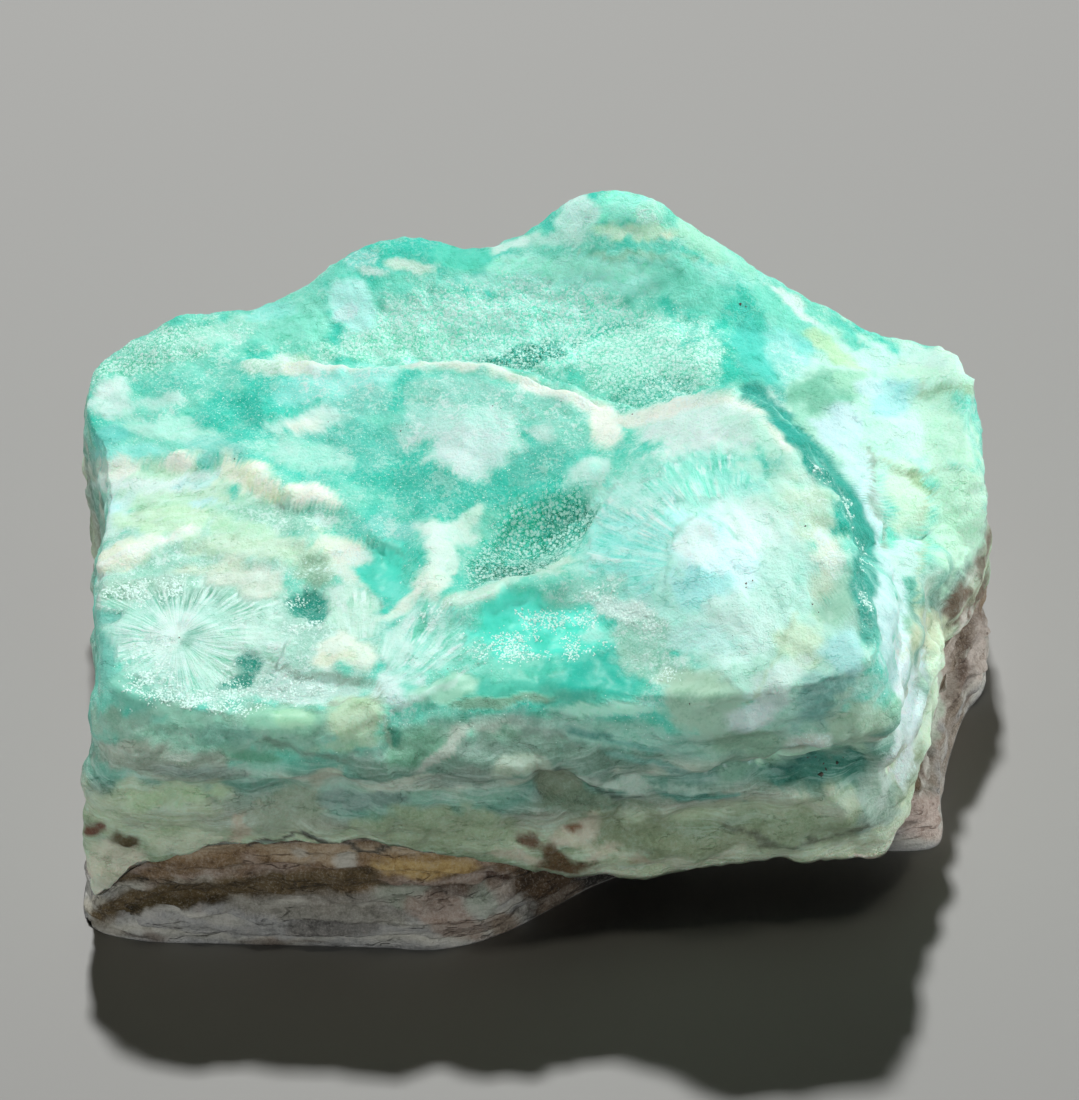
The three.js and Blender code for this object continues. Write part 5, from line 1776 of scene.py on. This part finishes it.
# %% Smithsonite material: colour
pale_ground = plus(0.3, times(between(split(base)[0], 0.02, 0.4), 0.7))
pale_share = times(plus(0.2, times(crusty, 0.2)), not_glass)
mottled = {
    "Place": place, "Colour": base, "Pale colour": SUGAR_WHITE, "Pale": times(pale_share, pale_ground),
    "Deep": 0.4, "Grit": plus(0.05, times(crusty, 0.12)),
}
colour = place_group(mottling, mottled)["Colour"]
streaky = maths("MAXIMUM", fibres, times(layers, 0.22))
colour = blend_colours(times(streak["Pale"], streaky, 0.8), colour, SUGAR_WHITE)
colour = deepened(times(streak["Deep"], streaky, 0.8), colour)
colour = deepened(times(stipple["Gap"], druse, 0.9), colour)
colour = blend_colours(times(stipple["White"], druse, 0.75), colour, SUGAR_WHITE)
colour = blend_colours(times(dust["White"], pale_ground, 0.8), colour, SUGAR_WHITE)
colour = deepened(times(crack, 0.35), colour)
link(colour, shader.inputs["Base Color"])
tell("with its colour it")

# %% Smithsonite material: fine relief, gloss and the light that goes in
height = times(noise(place, 2.2, 4.0, 0.7), not_glass, 0.4)
height = plus(height, times(stipple["Height"], druse, 0.07))
height = plus(height, times(dust["Height"], sugar, 0.25))
bedded = maths("MAXIMUM", times(fibres, 0.6), times(layers, 0.24))
height = plus(height, times(streak["Height"], bedded))
shade_relief(shader, less(height, times(crack, 0.2)), 0.8)
link(less(0.55, times(glass, 0.13)), shader.inputs["Roughness"])
set_constants(shader, {
    "Specular IOR Level": 0.2,
    "Subsurface Weight": 0.5,
    "Subsurface Radius": (0.6, 1.3, 1.1),
    "Subsurface Scale": 0.4 * MM,
})
smithsonite.data.materials.append(smithsonite_look)
tell("the finished smithsonite")

# %% [markdown]
# ### The host rock
# The same groups with other values: stronger mottling, streaks that lie flat along the bedding, longer
# cracks and a little sand. It is dull, so it has one roughness all over.

# %% Host rock material
rock_look, tree, shader = new_material("host_rock_look")
place = millimetres()
base = stored("tint")
pale_share = times(between(split(base)[0], 0.02, 0.3), 0.4)
mottled = {
    "Place": place, "Colour": base, "Pale colour": (0.62, 0.6, 0.54, 1), "Pale": pale_share,
    "Deep": 0.65, "Grit": 0.2,
}
colour = place_group(mottling, mottled)["Colour"]
streak = place_group(streaks, {"Grain": scaled(place, (0.25, 0.25, 1.9))})
colour = deepened(times(streak["Deep"], 0.3), colour)
bent = scaled(place, (0.4, 0.4, 1.3))
crack = place_group(cracks, {"Place": bent, "Cracks per mm": 0.18})["Line"]
colour = deepened(times(crack, 0.6), colour)
sand = place_group(grains, {"Place": place, "Grains per mm": 2.2, "White share": 0.12})
colour = blend_colours(times(sand["White"], 0.06), colour, (0.5, 0.48, 0.42, 1))
link(colour, shader.inputs["Base Color"])
height = plus(times(noise(place, 0.9, 8.0, 0.72), 0.9), times(streak["Height"], 0.2))
shade_relief(shader, less(height, times(crack, 0.4)), 0.9)
set_constants(shader, {"Roughness": 0.75})
matrix.data.materials.append(rock_look)
tell("host rock")

# %% [markdown]
# ### Crystals, specks and floor
# A crystal takes the colour of the stone under it, made whiter by the tone stored for it. The specks
# are nearly black, with a hint of rust. The floor is one plain colour.

# %% Crystal material
crystal_look, tree, shader = new_material("crystal_look")
white = times(between(stored("tone", "Fac"), 0.1, 0.9), 0.85)
colour = blend_colours(white, stored("tint"), (0.74, 1.0, 0.92, 1))
link(colour, shader.inputs["Base Color"])
set_constants(shader, {"Roughness": 0.35})
for crust in crusts:
    crust.data.materials.append(crystal_look)
tell("crystal")

# %% Dark speck material
speck_look, tree, shader = new_material("dark_speck_look")
spots = noise(millimetres(), 5.0)
dark = blend_colours(spots, (0.03, 0.035, 0.03, 1), (0.09, 0.06, 0.04, 1))
link(dark, shader.inputs["Base Color"])
set_constants(shader, {"Roughness": 0.5})
specks.data.materials.append(speck_look)
tell("dark speck")

# %% Floor material
floor_look, tree, shader = new_material("floor_look")
set_constants(shader, {"Base Color": (0.465, 0.465, 0.45, 1), "Roughness": 0.7})
floor.data.materials.append(floor_look)
tell("floor")

# %% [markdown]
# ## Light
# One small strong lamp above and behind throws the stone's shadow towards the viewer, and a weak one
# overhead lifts that shadow, except under the lip, where the stone hides it. Three weak lamps at the
# front and the sides brighten the shaded faces. They would wash out the shadow on the floor, so they are
# linked to the stone alone, as a card held close to it would be. Once some lamps are linked and others
# are not, the brightness can jump from one render to the next, so every lamp names what it lights.


# %% Lamps
def collection_of(name, pieces):
    """A collection that only lists pieces, for lamps to be linked to."""
    collection = bpy.data.collections.new(name)
    for piece in pieces:
        collection.objects.link(piece)
    return collection


stone_pieces = (smithsonite, matrix, specks, *crusts)
stone_only = collection_of("stone_only", stone_pieces)
everything = collection_of("everything", (*stone_pieces, floor))
# each lamp: name, place and size in mm, watts, what it lights, colour
LAMPS = [
    ("key_lamp", (-80, 860, 1360), 100, 21, everything, (1, 1, 1)),
    ("front_lamp", (-100, -800, 620), 500, 4.6, stone_only, (1, 1, 1)),
    ("right_lamp", (900, 120, 300), 300, 7, stone_only, (1, 1, 1)),
    ("left_lamp", (-900, 0, 300), 300, 1.6, stone_only, (1, 1, 1)),
    ("sky_lamp", (0, -40, 1500), 160, 0.9, everything, (1.0, 0.94, 0.78)),
]


def soft_lamp(name, at, size, power, receivers, colour):
    """A square lamp that faces the middle of the stone and lights only its receivers."""
    light = bpy.data.lights.new(name, "AREA")
    light.size = size * MM
    light.energy = power
    light.color = colour
    lamp = bpy.data.objects.new(name, light)
    scene.collection.objects.link(lamp)
    lamp.location = Vector(at) * MM
    turn_towards(lamp, LOOKED_AT)
    lamp.light_linking.receiver_collection = receivers


for lamp in LAMPS:
    soft_lamp(*lamp)
print(len(LAMPS), "lamps,", round(sum(lamp[3] for lamp in LAMPS), 1), "watts in all")

# %% A faint sky
world = bpy.data.worlds.new("studio")
world.use_nodes = True
sky = world.node_tree.nodes["Background"]
sky.inputs["Color"].default_value = (0.95, 0.97, 1.0, 1)
sky.inputs["Strength"].default_value = 0.008
scene.world = world
scene.view_settings.view_transform = "Standard"
print("the sky's strength is", round(sky.inputs["Strength"].default_value, 3))
